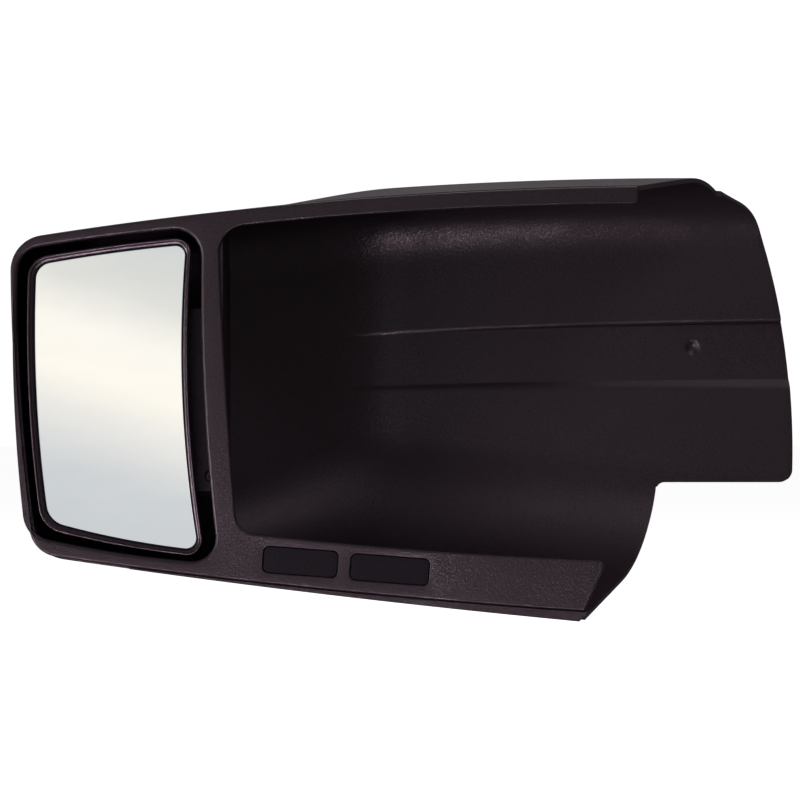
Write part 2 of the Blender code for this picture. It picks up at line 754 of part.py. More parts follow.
def screw(name, head_under, direction, head, shank, length):
    """A pan-head self-tapping screw with a cone-shaped drive recess. The direction is from its
    head to its point, and head_under is the middle of the seat under its head."""
    head_radius, head_height = head
    profile = [
        (0.0, -head_height * 0.35),
        (head_radius * 0.32, -head_height),
        (head_radius * 0.72, -head_height),
        (head_radius, -head_height * 0.45),
        (head_radius, 0.0),
        (shank, 0.0),
        (shank, length - shank * 1.6),
        (0.0, length),
    ]
    away = -Vector(direction)
    spun = turned_part(name, [(radius, -height) for radius, height in profile], head_under, away, 14)
    return as_part(spun, name, "zinc_steel")


def carrier_screws():
    for number, (x, z, _) in enumerate(carrier_screw_spots(), 1):
        seat = (x, at_depth(CARRIER_DEPTH - GAP), z)
        length = CARRIER_SCREW_LENGTHS[x > PIVOT_X]
        screw(f"carrier_screw_{number}", seat, (0, 1, 0), CARRIER_SCREW_HEAD, CARRIER_SHANK, length)


# ---- The pivot ----------------------------------------------------------------------------------

def pivot_ball():
    """The ball with four trunnions: it turns in the fixed yoke about Z, and the glass's yoke turns
    on it about X."""
    centre = (PIVOT_X, at_depth(PIVOT_DEPTH), PIVOT_Z)
    shape = bmesh.new()
    bmesh.ops.create_uvsphere(
        shape, u_segments=24, v_segments=14, radius=BALL_RADIUS, matrix=Matrix.Translation(centre)
    )
    ball = solid("pivot_ball", shape)
    for name, axis in (("pan_trunnion", (0, 0, 1)), ("tilt_trunnion", (1, 0, 0))):
        join(ball, cylinder(name, centre, axis, TRUNNION_RADIUS, 2 * TRUNNION_REACH, 32))
    return as_part(ball, "pivot_ball", "acetal")


def friction_washers():
    """Thin spring washers between the ball's shoulders and the ears. They give the glass its drag."""
    inner = TRUNNION_RADIUS + GAP
    outer = EAR_RADIUS
    half = WASHER_THICKNESS / 2
    profile = [(outer, half), (outer, -half), (inner, -half), (inner, half)]
    places = {
        "pan_washer_upper": (0, 0, 1),
        "pan_washer_lower": (0, 0, -1),
        "tilt_washer_inboard": (1, 0, 0),
        "tilt_washer_outboard": (-1, 0, 0),
    }
    for name, axis in places.items():
        reach = EAR_INSIDE - GAP - half
        centre = Vector((PIVOT_X, at_depth(PIVOT_DEPTH), PIVOT_Z)) + Vector(axis) * reach
        as_part(turned_part(name, profile, centre, axis), name, "spring_steel")


def plate_screw_spots():
    wide, tall = PLATE_SCREWS
    for side in (-1, 1):
        for rise in (1, -1):
            yield PIVOT_X + side * wide, PIVOT_Z + rise * tall


def pivot_plate():
    """The plate that joins the glass holder to the ball."""
    half_x = PIVOT_PLATE_SIZE[0] / 2
    half_z = PIVOT_PLATE_SIZE[1] / 2
    signs = ((-1, 1), (1, 1), (1, -1), (-1, -1))
    corners = [(PIVOT_X + side * half_x, PIVOT_Z + rise * half_z, 0.005, 0.0) for side, rise in signs]
    front = PIVOT_PLATE_DEPTH
    back = front + PIVOT_PLATE_THICKNESS
    plate = prism("pivot_plate", rounded_outline(corners), at_depth(front), at_depth(back))
    add_yoke(plate, "moving_ear", (1, 0, 0), back - 0.001)
    for x, z in plate_screw_spots():
        cut(plate, cylinder("plate_hole", (x, at_depth(front), z), (0, 1, 0), PLATE_HOLE, THROUGH, 12))
    return as_part(plate, "pivot_plate", "acetal")


def plate_screws():
    back = PIVOT_PLATE_DEPTH + PIVOT_PLATE_THICKNESS + GAP
    for number, (x, z) in enumerate(plate_screw_spots(), 1):
        seat = (x, at_depth(back), z)
        screw(f"plate_screw_{number}", seat, (0, -1, 0), PLATE_SCREW_HEAD, PLATE_SHANK, PLATE_SCREW_LENGTH)


# ---- The glass ----------------------------------------------------------------------------------

def glass_holder():
    """The tray that the glass is bonded into, with four short bosses on its back."""
    glass_back = GLASS_FRONT + GLASS_THICKNESS
    floor = glass_back + PAD_THICKNESS + 2 * GAP
    back = floor + HOLDER_PLATE
    wall_back = glass_back + GAP
    holder = prism("glass_holder", rounded_outline(HOLDER_OUTLINE), at_depth(HOLDER_FRONT), at_depth(wall_back))
    plate = rounded_outline(inset(HOLDER_OUTLINE, HOLDER_PLATE_INSET))
    join(holder, prism("holder_plate", plate, at_depth(GLASS_FRONT), at_depth(back)))
    for x, z in plate_screw_spots():
        length = PIVOT_PLATE_DEPTH - GAP - floor - 0.001
        middle = (x, at_depth(PIVOT_PLATE_DEPTH - GAP - length / 2), z)
        join(holder, cylinder("holder_boss", middle, (0, 1, 0), HOLDER_BOSS_RADIUS, length, 16))
    seat = rounded_outline(inset(GLASS_OUTLINE, -0.0004))
    cut(holder, prism("glass_seat", seat, at_depth(-0.01), at_depth(floor)))
    for x, z in plate_screw_spots():
        middle = (x, at_depth(PIVOT_PLATE_DEPTH), z)
        cut(holder, cylinder("holder_pilot", middle, (0, 1, 0), HOLDER_PILOT, HOLDER_PILOT_LENGTH, 12))
    return as_part(holder, "glass_holder", "pocket_abs")


def mirror_glass():
    back = GLASS_FRONT + GLASS_THICKNESS
    outline = rounded_outline(GLASS_OUTLINE)
    glass = prism("mirror_glass", outline, at_depth(GLASS_FRONT), at_depth(back))
    return as_part(glass, "mirror_glass", "silvered_glass")


def glass_pad():
    front = GLASS_FRONT + GLASS_THICKNESS + GAP
    outline = rounded_outline(inset(GLASS_OUTLINE, 0.004))
    pad = prism("glass_pad", outline, at_depth(front), at_depth(front + PAD_THICKNESS))
    return as_part(pad, "glass_pad", "foam")


clear_scene()
PARTS = new_collection("towing_mirror")
CUTTERS = new_collection("cutters")
MATERIALS = {name: new_material(name) for name in COLOURS}

face_frame()
grip_pads()
back_shell()
bulkhead()
carrier_plate()
carrier_screws()
pivot_ball()
friction_washers()
pivot_plate()
plate_screws()
glass_holder()
glass_pad()
mirror_glass()
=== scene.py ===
"""The looks of a slip-on towing mirror: fine meshes and moulded-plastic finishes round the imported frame.

Metres. +X points inboard, +Y forwards and +Z up. The reflecting face looks along -Y. Depths are
measured backwards from the face plane.
"""

import math

import bmesh
import bpy
from mathutils import Matrix, Vector


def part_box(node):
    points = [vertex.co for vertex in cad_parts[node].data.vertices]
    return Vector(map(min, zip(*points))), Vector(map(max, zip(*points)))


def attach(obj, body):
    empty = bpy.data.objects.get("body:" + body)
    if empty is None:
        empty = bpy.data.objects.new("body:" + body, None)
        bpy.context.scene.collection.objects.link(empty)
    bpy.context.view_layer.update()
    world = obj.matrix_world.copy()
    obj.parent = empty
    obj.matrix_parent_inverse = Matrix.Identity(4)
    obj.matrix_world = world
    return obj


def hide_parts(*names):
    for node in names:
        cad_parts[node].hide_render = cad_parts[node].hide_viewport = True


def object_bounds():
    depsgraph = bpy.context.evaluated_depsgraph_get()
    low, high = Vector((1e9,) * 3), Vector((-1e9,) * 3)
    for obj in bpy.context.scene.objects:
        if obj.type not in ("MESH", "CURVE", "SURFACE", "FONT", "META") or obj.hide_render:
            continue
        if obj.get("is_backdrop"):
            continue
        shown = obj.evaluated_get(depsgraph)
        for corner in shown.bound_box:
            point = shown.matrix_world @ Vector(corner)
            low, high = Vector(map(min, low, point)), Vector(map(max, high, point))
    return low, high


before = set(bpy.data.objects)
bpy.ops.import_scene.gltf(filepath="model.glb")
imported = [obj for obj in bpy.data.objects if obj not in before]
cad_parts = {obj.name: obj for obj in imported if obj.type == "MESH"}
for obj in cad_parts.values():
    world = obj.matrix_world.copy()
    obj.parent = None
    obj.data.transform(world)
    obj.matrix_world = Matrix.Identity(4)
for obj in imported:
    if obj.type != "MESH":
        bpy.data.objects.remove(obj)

bl_info = {
    "name": "Towing mirror looks",
    "version": (1, 0, 0),
    "blender": (4, 5, 0),
    "location": "View3D > Sidebar > Towing Mirror",
    "description": "Builds the fine surfaces, finishes and studio of a slip-on towing mirror",
    "category": "Object",
}

CAD_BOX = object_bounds()
FACE_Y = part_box("face_frame")[0][1]
GAP = 0.0003
WALL = 0.003
FACE_THICKNESS = 0.003

# Corners of outlines are (x, z, radius, bow), clockwise. The bow is how far the edge from this
# corner to the next one swells to the left of its own direction.
FRAME_OUTLINE = [
    (-0.1362, 0.1026, 0.023, 0.0071),
    (0.2670, 0.1372, 0.0015, 0.0),
    (0.2665, 0.1256, 0.0030, -0.0034),
    (-0.0026, 0.1103, 0.018, -0.0012),
    (0.0093, -0.0846, 0.013, -0.0022),
    (0.2475, -0.1030, 0.004, 0.0),
    (0.2325, -0.1355, 0.001, 0.0033),
    (-0.1218, -0.0984, 0.020, 0.0031),
]
MIRROR_OPENING = [
    (-0.1310, 0.0960, 0.016, 0.0010),
    (-0.0134, 0.1110, 0.017, -0.0034),
    (-0.0025, -0.1050, 0.015, 0.0020),
    (-0.1240, -0.0870, 0.018, 0.0035),
]
HOLDER_OUTLINE = [
    (-0.1250, 0.0912, 0.015, 0.0010),
    (-0.0194, 0.1054, 0.010, -0.0058),
    (-0.0112, -0.1012, 0.010, 0.0018),
    (-0.1170, -0.0824, 0.019, 0.0036),
]
GLASS_OUTLINE = [
    (-0.1202, 0.0870, 0.011, 0.0010),
    (-0.0234, 0.1003, 0.0065, -0.0058),
    (-0.0154, -0.0970, 0.007, 0.0018),
    (-0.1123, -0.0782, 0.015, 0.0036),
]

# The shell: its rim at the face, and how it deepens and closes towards the back.
SHELL_END_X = 0.395
SHELL_CORNERS = [
    (SHELL_END_X, 0.1363, 0.0, -0.0123),
    (-0.1362, 0.1026, 0.023, -0.0031),
    (-0.1221, -0.0998, 0.026, -0.0048),
    (SHELL_END_X, -0.1562, 0.0, 0.0),
]
SILL_X = (-0.060, 0.2320)
SILL_TIP = (0.2350, -0.1359)
SILL_FOOT_X = 0.2290
SILL_FRONT = 0.0010
SILL_BACK = 0.0046
OUTBOARD_DEPTH = 0.057
INBOARD_DEPTH = 0.117
DEEPENS_FROM_X = -0.060
DEEPENS_TO_X = 0.110
OUTBOARD_FILLET = 0.034
INBOARD_FILLET = 0.057
CORNER_GROWTH = 0.011
TOP_DRAFT = (0.05, -0.17)
SIDE_DRAFT = 0.01
BOTTOM_DRAFT = (0.10, 0.41)
BAND_DEPTH = 0.0038
BAND_TOP_ROWS = (0.300, 0.312)
BAND_BOTTOM_ROWS = (0.545, 0.600)
BAND_GROWS_X = (0.050, 0.385)
BAND_X = (0.224, 0.385)
BAND_TOP_Z = (0.0538, 0.0566)
BAND_LOW_Z = (0.0135, 0.0145)
FREE_EDGE = [
    (0.2900, 0.1621, 0.0, 0.0),
    (0.3575, 0.1306, 0.028, 0.0080),
    (0.3843, -0.0568, 0.009, 0.0),
    (0.2905, -0.0568, 0.006, 0.0),
    (0.2905, -0.2200, 0.0, 0.0),
    (0.4500, -0.2200, 0.0, 0.0),
    (0.4500, 0.2200, 0.0, 0.0),
    (0.2900, 0.2200, 0.0, 0.0),
]
TOP_END_X = (0.267, 0.329)
TOP_END_DEPTH = 0.0935
BOTTOM_END_X = (0.231, 0.2915)
TOP_END_RUNS_ON = 0.006
BOTTOM_END_RUNS_ON = 0.004
TOP_END_LOWEST_Z = 0.062
BOTTOM_END_HIGHEST_Z = -0.0598
# Cutters reach out to these places, clear of the shell.
TOP_END_BEYOND_X = 0.42
BOTTOM_END_BEYOND_X = 0.46
TOP_END_BEYOND_Z = 0.22
BOTTOM_END_BEYOND_Z = -0.24
BEYOND_FRONT = -0.02
BEYOND_BACK = 0.16
RIM_TRIM_FRONT = -0.03
RIM_TRIM_OUTLINE = [(-0.2, -0.2), (0.45, -0.2), (0.45, 0.2), (-0.2, 0.2)]
DIMPLE = (0.316, 0.036)

GRIP_PADS = {
    "grip_pad_outboard": (0.0501, -0.1038, 0.0483),
    "grip_pad_inboard": (0.1074, -0.1087, 0.0510),
}
PAD_HEIGHT = 0.0175
PAD_CORNER = 0.004
PAD_TILT = math.radians(-4.4)
PAD_FLANGE = 0.0014
PAD_FOOT_THICKNESS = 0.0016
PAD_FACE_DEPTH = 0.0007
PAD_EDGE = 0.0007
PAD_HOLE_EDGE = 0.0006
SILL_EDGE = 0.0005
GLASS_EDGE = 0.0005

HOLDER_FRONT = 0.0035
GLASS_FRONT = 0.0047
GLASS_THICKNESS = 0.0022
HOLDER_FLOOR = 0.0085
HOLDER_WALL_BACK = 0.0072
HOLDER_BACK = 0.0107
HOLDER_BEAD = 0.0011
BOSS_RADIUS = 0.0036
BOSS_BORE = 0.0015
BOSS_EDGE = 0.0003

CAD_FINISHES = {
    # The bulkhead and carrier plate take the darker plastic, painted shade for the pocket.
    "pocket_abs": ("bulkhead", "carrier_plate"),
    "acetal": ("pivot_ball", "pivot_plate"),
    "foam": ("glass_pad",),
    "zinc_steel": tuple(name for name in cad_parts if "_screw_" in name),
    "spring_steel": tuple(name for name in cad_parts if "washer" in name),
}


# Softboxes: place, the point it faces, its two sides and its colour.
MIDDLE = (0.10, FACE_Y, 0.0)
LOW_OUTBOARD = (-0.02, FACE_Y, -0.06)
SOFTBOXES = {
    "key": ((-0.12, -1.35, -0.82), LOW_OUTBOARD, (0.9, 0.5), (1.0, 0.90, 0.96)),
    "side": ((-1.25, -0.85, -0.35), LOW_OUTBOARD, (0.5, 0.5), (1.0, 0.92, 0.97)),
    "accent": ((0.75, -0.60, 1.05), MIDDLE, (0.35, 0.35), (1.0, 0.93, 0.98)),
    "top": ((0.1, 0.75, 1.8), (0.1, 0.25, 0.0), (1.6, 0.9), (1.0, 0.99, 0.98)),
}
CARD_CORNERS = ((-0.95, -0.62), (0.25, -0.62), (0.25, 0.62), (-0.95, 0.62))
CARD_DISTANCE = 2.2
FLOOR_SIZE = 12.0
BACKDROP_STRENGTH = 1.05


# ---- Settings -----------------------------------------------------------------------------------

class MeshSettings(bpy.types.PropertyGroup):
    """Sizes and fineness of the surfaces."""

    edge_round: bpy.props.FloatProperty(
        name="Face edge", description="Radius of the face frame's outer edge",
        default=0.0013, unit="LENGTH", precision=4,
    )
    opening_round: bpy.props.FloatProperty(
        name="Opening edge", description="Radius of the edge round the glass's opening",
        default=0.0022, unit="LENGTH", precision=4,
    )
    rim_round: bpy.props.FloatProperty(
        name="Shell edge", description="Radius of the shell's free edges",
        default=0.0006, unit="LENGTH", precision=4,
    )
    dimple_radius: bpy.props.FloatProperty(
        name="Dimple radius", description="Radius of the dished mark inside the back wall",
        default=0.0062, unit="LENGTH", precision=4,
    )
    dimple_depth: bpy.props.FloatProperty(
        name="Dimple depth", description="Depth of the dished mark",
        default=0.0019, unit="LENGTH", precision=4,
    )
    corner_steps: bpy.props.IntProperty(
        name="Corner steps", description="Segments in each round corner", default=20,
    )
    edge_steps: bpy.props.IntProperty(
        name="Edge steps", description="Segments in each long edge", default=96,
    )


class FinishSettings(bpy.types.PropertyGroup):
    """Colours and gloss of the materials."""

    plastic: bpy.props.FloatVectorProperty(
        name="Plastic", description="Colour of the moulded housing", subtype="COLOR",
        size=3, default=(0.0165, 0.0105, 0.0140), min=0.0, max=1.0,
    )
    # A darker copy of the housing plastic: painted shade for the glass holder and the parts deep in the
    # pocket behind it.
    pocket_shade_colour: bpy.props.FloatVectorProperty(
        name="Pocket plastic", description="Colour of the glass holder and the parts behind it",
        subtype="COLOR", size=3, default=(0.0110, 0.0055, 0.0092), min=0.0, max=1.0,
    )
    rubber: bpy.props.FloatVectorProperty(
        name="Rubber", description="Colour of the grip pads", subtype="COLOR",
        size=3, default=(0.0075, 0.0042, 0.0090), min=0.0, max=1.0,
    )
    roughness: bpy.props.FloatProperty(
        name="Plastic roughness", description="Mean roughness of the grained plastic",
        default=0.46, min=0.0, max=1.0,
    )
    grain: bpy.props.FloatProperty(
        name="Grain depth", description="Depth of the moulded grain", default=0.00017,
        unit="LENGTH", precision=5,
    )


class StudioSettings(bpy.types.PropertyGroup):
    """The camera, the floor and the lights."""

    camera_x: bpy.props.FloatProperty(
        name="Camera X", description="How far inboard the camera stands",
        default=0.1139, unit="LENGTH", precision=4,
    )
    camera_distance: bpy.props.FloatProperty(
        name="Distance", description="From the camera to the face plane",
        default=1.5, unit="LENGTH",
    )
    field_of_view: bpy.props.FloatProperty(
        name="Field of view", description="The camera's angle of view",
        default=math.radians(19.4), subtype="ANGLE",
    )
    floor_drop: bpy.props.FloatProperty(
        name="Floor drop", description="How far the floor lies below the mirror",
        default=0.125, unit="LENGTH",
    )
    key_power: bpy.props.FloatProperty(
        name="Key", description="Power of the low outboard softbox in watts", default=105.0,
    )
    side_power: bpy.props.FloatProperty(
        name="Side", description="Power of the outboard softbox in watts", default=32.0,
    )
    accent_power: bpy.props.FloatProperty(
        name="Accent", description="Power of the high inboard softbox in watts", default=2.5,
    )
    top_power: bpy.props.FloatProperty(
        name="Top", description="Power of the overhead softbox in watts", default=15.0,
    )
    surroundings: bpy.props.FloatProperty(
        name="Surroundings", description="Brightness of the room that the mirror stands in",
        default=0.12, min=0.0,
    )


# ---- Outlines -----------------------------------------------------------------------------------

def at_depth(depth):
    return FACE_Y + depth


def smooth(value, low, high):
    t = min(max((value - low) / (high - low), 0.0), 1.0)
    return t * t * (3 - 2 * t)


def between(pair, t):
    return pair[0] + (pair[1] - pair[0]) * t


def turned(direction, angle):
    return Matrix.Rotation(angle, 2) @ direction


def bezier(handles, t):
    a, b, c, d = handles
    s = 1 - t
    return a * s**3 + b * 3 * s * s * t + c * 3 * s * t * t + d * t**3


def rounded_outline(corners, closed=True, corner_steps=12, edge_steps=40):
    """Points along an outline with bowed edges and round corners, and nothing sharp between them."""
    count = len(corners)
    spots = [Vector(corner[:2]) for corner in corners]
    leaving = []
    arriving = []
    for index, corner in enumerate(corners):
        chord = spots[(index + 1) % count] - spots[index]
        swing = math.atan(4 * corner[3] / chord.length)
        leaving.append(turned(chord.normalized(), swing))
        arriving.append(turned(chord.normalized(), -swing))
    arcs = []
    for index, corner in enumerate(corners):
        before = arriving[index - 1]
        after = leaving[index]
        if corner[2] == 0.0:
            arcs.append([spots[index]])
            continue
        turn = math.atan2(before.cross(after), before.dot(after))
        start = spots[index] - before * corner[2] * math.tan(abs(turn) / 2)
        centre = start + turned(before, math.copysign(math.pi / 2, turn)) * corner[2]
        steps = range(corner_steps + 1)
        arcs.append([centre + turned(start - centre, turn * step / corner_steps) for step in steps])
    points = []
    for index in range(count):
        points += arcs[index]
        if index == count - 1 and not closed:
            break
        start = arcs[index][-1]
        end = arcs[(index + 1) % count][0]
        steps = edge_steps if corners[index][3] else max(edge_steps // 4, 1)
        reach = (end - start).length / 3
        handles = (start, start + leaving[index] * reach, end - arriving[index] * reach, end)
        points += [bezier(handles, step / steps) for step in range(1, steps)]
    return points


def inset(corners, amount):
    """The same clockwise outline moved inwards. A negative amount grows it."""
    count = len(corners)
    spots = [Vector(corner[:2]) for corner in corners]
    moved = []
    for index, (x, z, radius, bow) in enumerate(corners):
        before = (spots[index] - spots[index - 1]).normalized()
        after = (spots[(index + 1) % count] - spots[index]).normalized()
        half = math.atan2(before.cross(after), before.dot(after)) / 2
        inwards = turned((before + after).normalized(), -math.pi / 2)
        spot = spots[index] + inwards * amount / math.cos(half)
        new_radius = radius - amount if half < 0 else radius + amount
        moved.append((spot.x, spot.y, max(new_radius, 0.0003), bow))
    return moved


def quarter(radius, steps=6):
    """(inset, depth) pairs of an edge's quarter round, from its side to its face."""
    turns = [math.pi / 2 * step / steps for step in range(steps + 1)]
    return [(radius * (1 - math.cos(turn)), radius * (1 - math.sin(turn))) for turn in turns]


# ---- Mesh helpers -------------------------------------------------------------------------------

def add_ring(shape, points, depth):
    return [shape.verts.new((point.x, at_depth(depth), point.y)) for point in points]


def skin_rings(shape, rings):
    """Faces between closed rings that have the same number of points."""
    for outer, inner in zip(rings, rings[1:]):
        for index in range(len(outer)):
            after = (index + 1) % len(outer)
            shape.faces.new((outer[index], outer[after], inner[after], inner[index]))


def cap(shape, *rings):
    """Fills the flat region between rings. The first goes round it, and the others are holes."""
    edges = []
    for ring in rings:
        for index in range(len(ring)):
            edges.append(shape.edges.get((ring[index - 1], ring[index])))
    bmesh.ops.triangle_fill(shape, use_beauty=True, use_dissolve=False, edges=edges)


def as_object(shape, name, smooth_angle=40):
    """Turns a bmesh into an object with its faces pointing out."""
    bmesh.ops.recalc_face_normals(shape, faces=shape.faces)
    mesh = bpy.data.meshes.new(name)
    shape.to_mesh(mesh)
    shape.free()
    mesh.shade_smooth()
    mesh.set_sharp_from_angle(angle=math.radians(smooth_angle))
    obj = bpy.data.objects.new(name, mesh)
    bpy.context.scene.collection.objects.link(obj)
    return obj


def slab(name, points, low, high, plan=False):
    """A flat outline given thickness. It lies in X and Z and is thick in Y, or in plan the reverse."""
    shape = bmesh.new()
    for height in (low, high):
        for point in points:
            spot = (point[0], point[1], height) if plan else (point[0], height, point[1])
            shape.verts.new(spot)
    shape.verts.ensure_lookup_table()
    count = len(points)
    shape.faces.new(shape.verts[:count])
    shape.faces.new(shape.verts[count:])
    for index in range(count):
        after = (index + 1) % count
        shape.faces.new([shape.verts[place] for place in (index, after, count + after, count + index)])
    return as_object(shape, name)


def settle(obj, helpers=()):
    """Applies the object's modifiers, then removes the helpers that they used."""
    bpy.context.view_layer.update()
    graph = bpy.context.evaluated_depsgraph_get()
    mesh = bpy.data.meshes.new_from_object(obj.evaluated_get(graph))
    mesh.name = obj.name
    obj.modifiers.clear()
    obj.data = mesh
    for helper in helpers:
        bpy.data.objects.remove(helper, do_unlink=True)


def cut(obj, cutter):
    modifier = obj.modifiers.new(cutter.name, "BOOLEAN")
    modifier.operation = "DIFFERENCE"
    modifier.object = cutter
    modifier.solver = "EXACT"


def finish_piece(obj, body, material, slot, *nodes):
    """Gives a piece its material and its body, and hides the CAD nodes that it stands for."""
    obj.data.materials.clear()
    obj.data.materials.append(material)
    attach(obj, body)
    if nodes:
        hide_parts(*nodes)
    return obj


# ---- Materials ----------------------------------------------------------------------------------

class Nodes:
    """A material's node tree, with short ways to add to it."""

    def __init__(self, name):
        self.material = bpy.data.materials.new(name)
        self.material.use_nodes = True
        self.tree = self.material.node_tree
        self.shader = self.tree.nodes["Principled BSDF"]
        self.place = self.add("ShaderNodeTexCoord").outputs["Object"]

    def add(self, kind, **values):
        node = self.tree.nodes.new(kind)
        for key, value in values.items():
            setattr(node, key, value)
        return node

    def link(self, source, target):
        self.tree.links.new(source, target)

    def noise(self, scale, detail=3.0, roughness=0.5, stretch=None):
        node = self.add("ShaderNodeTexNoise")
        node.inputs["Scale"].default_value = scale
        node.inputs["Detail"].default_value = detail
        node.inputs["Roughness"].default_value = roughness
        source = self.place
        if stretch:
            mapping = self.add("ShaderNodeMapping")
            mapping.inputs["Scale"].default_value = stretch
            self.link(source, mapping.inputs["Vector"])
            source = mapping.outputs["Vector"]
        self.link(source, node.inputs["Vector"])
        return node.outputs["Fac"]

    def ranged(self, source, low, high, from_low=0.3, from_high=0.7):
        node = self.add("ShaderNodeMapRange")
        node.inputs["From Min"].default_value = from_low
        node.inputs["From Max"].default_value = from_high
        node.inputs["To Min"].default_value = low
        node.inputs["To Max"].default_value = high
        self.link(source, node.inputs["Value"])
        return node.outputs["Result"]

    def math(self, operation, first, second):
        node = self.add("ShaderNodeMath", operation=operation)
        for socket, value in zip(node.inputs, (first, second)):
            if isinstance(value, float):
                socket.default_value = value
            else:
                self.link(value, socket)
        return node.outputs["Value"]

    def mixed(self, factor, low, high):
        """A colour between two, each a colour or another node's output."""
        node = self.add("ShaderNodeMix", data_type="RGBA")
        self.link(factor, node.inputs["Factor"])
        for socket, value in zip((node.inputs[6], node.inputs[7]), (low, high)):
            if isinstance(value, bpy.types.NodeSocket):
                self.link(value, socket)
            else:
                socket.default_value = (*value, 1.0)
        return node.outputs[2]

    def edges(self, low=0.52, high=0.60):
        """1 on outward edges, 0 on flat surfaces."""
        geometry = self.add("ShaderNodeNewGeometry")
        return self.ranged(geometry.outputs["Pointiness"], 0.0, 1.0, low, high)

    def bump(self, height, distance, strength=1.0, under=None):
        node = self.add("ShaderNodeBump")
        node.inputs["Distance"].default_value = distance
        node.inputs["Strength"].default_value = strength
        self.link(height, node.inputs["Height"])
        if under:
            self.link(under, node.inputs["Normal"])
        return node.outputs["Normal"]

    def finish(self, colour, roughness, normal):
        self.link(colour, self.shader.inputs["Base Color"])
        self.link(roughness, self.shader.inputs["Roughness"])
        self.link(normal, self.shader.inputs["Normal"])
        return self.material


def scaled(colour, amount):
    return tuple(min(channel * amount, 1.0) for channel in colour)


def grained_plastic(name, colour, roughness, grain, edge_highlight_reach=0.5):
    """Moulded plastic: a fine spark-eroded grain, cloudy gloss, and convex edges painted paler and made
    glossier as a painted highlight.
    """
    nodes = Nodes(name)
    cloud = nodes.noise(14.0, 4.0, 0.55)
    speckle = nodes.noise(760.0, 4.0, 0.75)
    tone = nodes.mixed(nodes.ranged(cloud, 0.0, 1.0), scaled(colour, 0.86), scaled(colour, 1.16))
    tone = nodes.mixed(nodes.ranged(speckle, 0.0, 1.0, 0.4, 0.66), tone, scaled(colour, 2.2))
    # Painted highlight: convex edges made lighter in colour, in patches, and glossier below.
    painted_edge_highlight = nodes.math("MULTIPLY", nodes.edges(), nodes.ranged(nodes.noise(120.0), 0.2, edge_highlight_reach))
    tone = nodes.mixed(painted_edge_highlight, tone, scaled(colour, 3.2))
    dull = nodes.ranged(cloud, roughness - 0.05, roughness + 0.06)
    dull = nodes.math("ADD", dull, nodes.ranged(speckle, -0.07, 0.07))
    dull = nodes.math("SUBTRACT", dull, nodes.math("MULTIPLY", painted_edge_highlight, 0.14))
    pits = nodes.bump(speckle, grain)
    pits = nodes.bump(nodes.noise(420.0, 3.0, 0.6), grain * 1.6, 0.5, pits)
    nodes.shader.inputs["IOR"].default_value = 1.5
    nodes.shader.inputs["Specular Tint"].default_value = (1.0, 0.84, 0.95, 1.0)
    return nodes.finish(tone, dull, pits)


def soft_rubber(name, colour):
    """Matt rubber with a pebbled face and a dusty bloom."""
    nodes = Nodes(name)
    pebbles = nodes.add("ShaderNodeTexVoronoi", feature="SMOOTH_F1")
    pebbles.inputs["Scale"].default_value = 850.0
    nodes.link(nodes.place, pebbles.inputs["Vector"])
    bloom = nodes.noise(60.0, 5.0, 0.6)
    tone = nodes.mixed(nodes.ranged(bloom, 0.0, 1.0), colour, scaled(colour, 2.1))
    dull = nodes.ranged(bloom, 0.70, 0.88)
    nodes.shader.inputs["Specular IOR Level"].default_value = 0.35
    return nodes.finish(tone, dull, nodes.bump(pebbles.outputs["Distance"], 0.00025, 0.8))


def waxy_acetal(name):
    nodes = Nodes(name)
    cloud = nodes.noise(90.0, 4.0)
    tone = nodes.mixed(nodes.ranged(cloud, 0.0, 1.0), (0.64, 0.63, 0.58), (0.74, 0.73, 0.69))
    tone = nodes.mixed(nodes.edges(), tone, (0.80, 0.79, 0.76))
    dull = nodes.ranged(nodes.noise(400.0, 2.0), 0.32, 0.46)
    nodes.shader.inputs["Subsurface Weight"].default_value = 0.08
    nodes.shader.inputs["Subsurface Scale"].default_value = 0.002
    return nodes.finish(tone, dull, nodes.bump(nodes.noise(900.0), 0.00003, 0.5))


def cell_foam(name):
    nodes = Nodes(name)
    cells = nodes.add("ShaderNodeTexVoronoi", feature="F1")
    cells.inputs["Scale"].default_value = 1600.0
    nodes.link(nodes.place, cells.inputs["Vector"])
    tone = nodes.mixed(cells.outputs["Distance"], (0.018, 0.018, 0.019), (0.050, 0.050, 0.052))
    dull = nodes.ranged(nodes.noise(300.0), 0.88, 0.99)
    return nodes.finish(tone, dull, nodes.bump(cells.outputs["Distance"], 0.0004))


def plated_steel(name, dark, light, low, high):
    """Brushed and plated metal, brighter on its edges."""
    nodes = Nodes(name)
    brushed = nodes.noise(700.0, 3.0, 0.6, (1.0, 0.12, 1.0))
    tone = nodes.mixed(nodes.ranged(brushed, 0.0, 1.0), dark, light)
    tone = nodes.mixed(nodes.edges(), tone, scaled(light, 1.15))
    dull = nodes.ranged(nodes.noise(220.0, 4.0), low, high)
    nodes.shader.inputs["Metallic"].default_value = 1.0
    return nodes.finish(tone, dull, nodes.bump(brushed, 0.00004, 0.4))


def silvered_glass(name):
    """Mirror glass: silver under a polished sheet, with faint smears and a darker ground edge."""
    nodes = Nodes(name)
    smear = nodes.noise(22.0, 5.0, 0.6, (1.0, 1.0, 2.6))
    tone = nodes.mixed(nodes.ranged(smear, 0.0, 1.0), (0.955, 0.955, 0.950), (0.985, 0.985, 0.980))
    tone = nodes.mixed(nodes.edges(0.54, 0.62), tone, (0.30, 0.34, 0.33))
    dull = nodes.ranged(smear, 0.015, 0.05)
    nodes.shader.inputs["Metallic"].default_value = 1.0
    return nodes.finish(tone, dull, nodes.bump(nodes.noise(6.0, 1.0), 0.00002, 0.3))


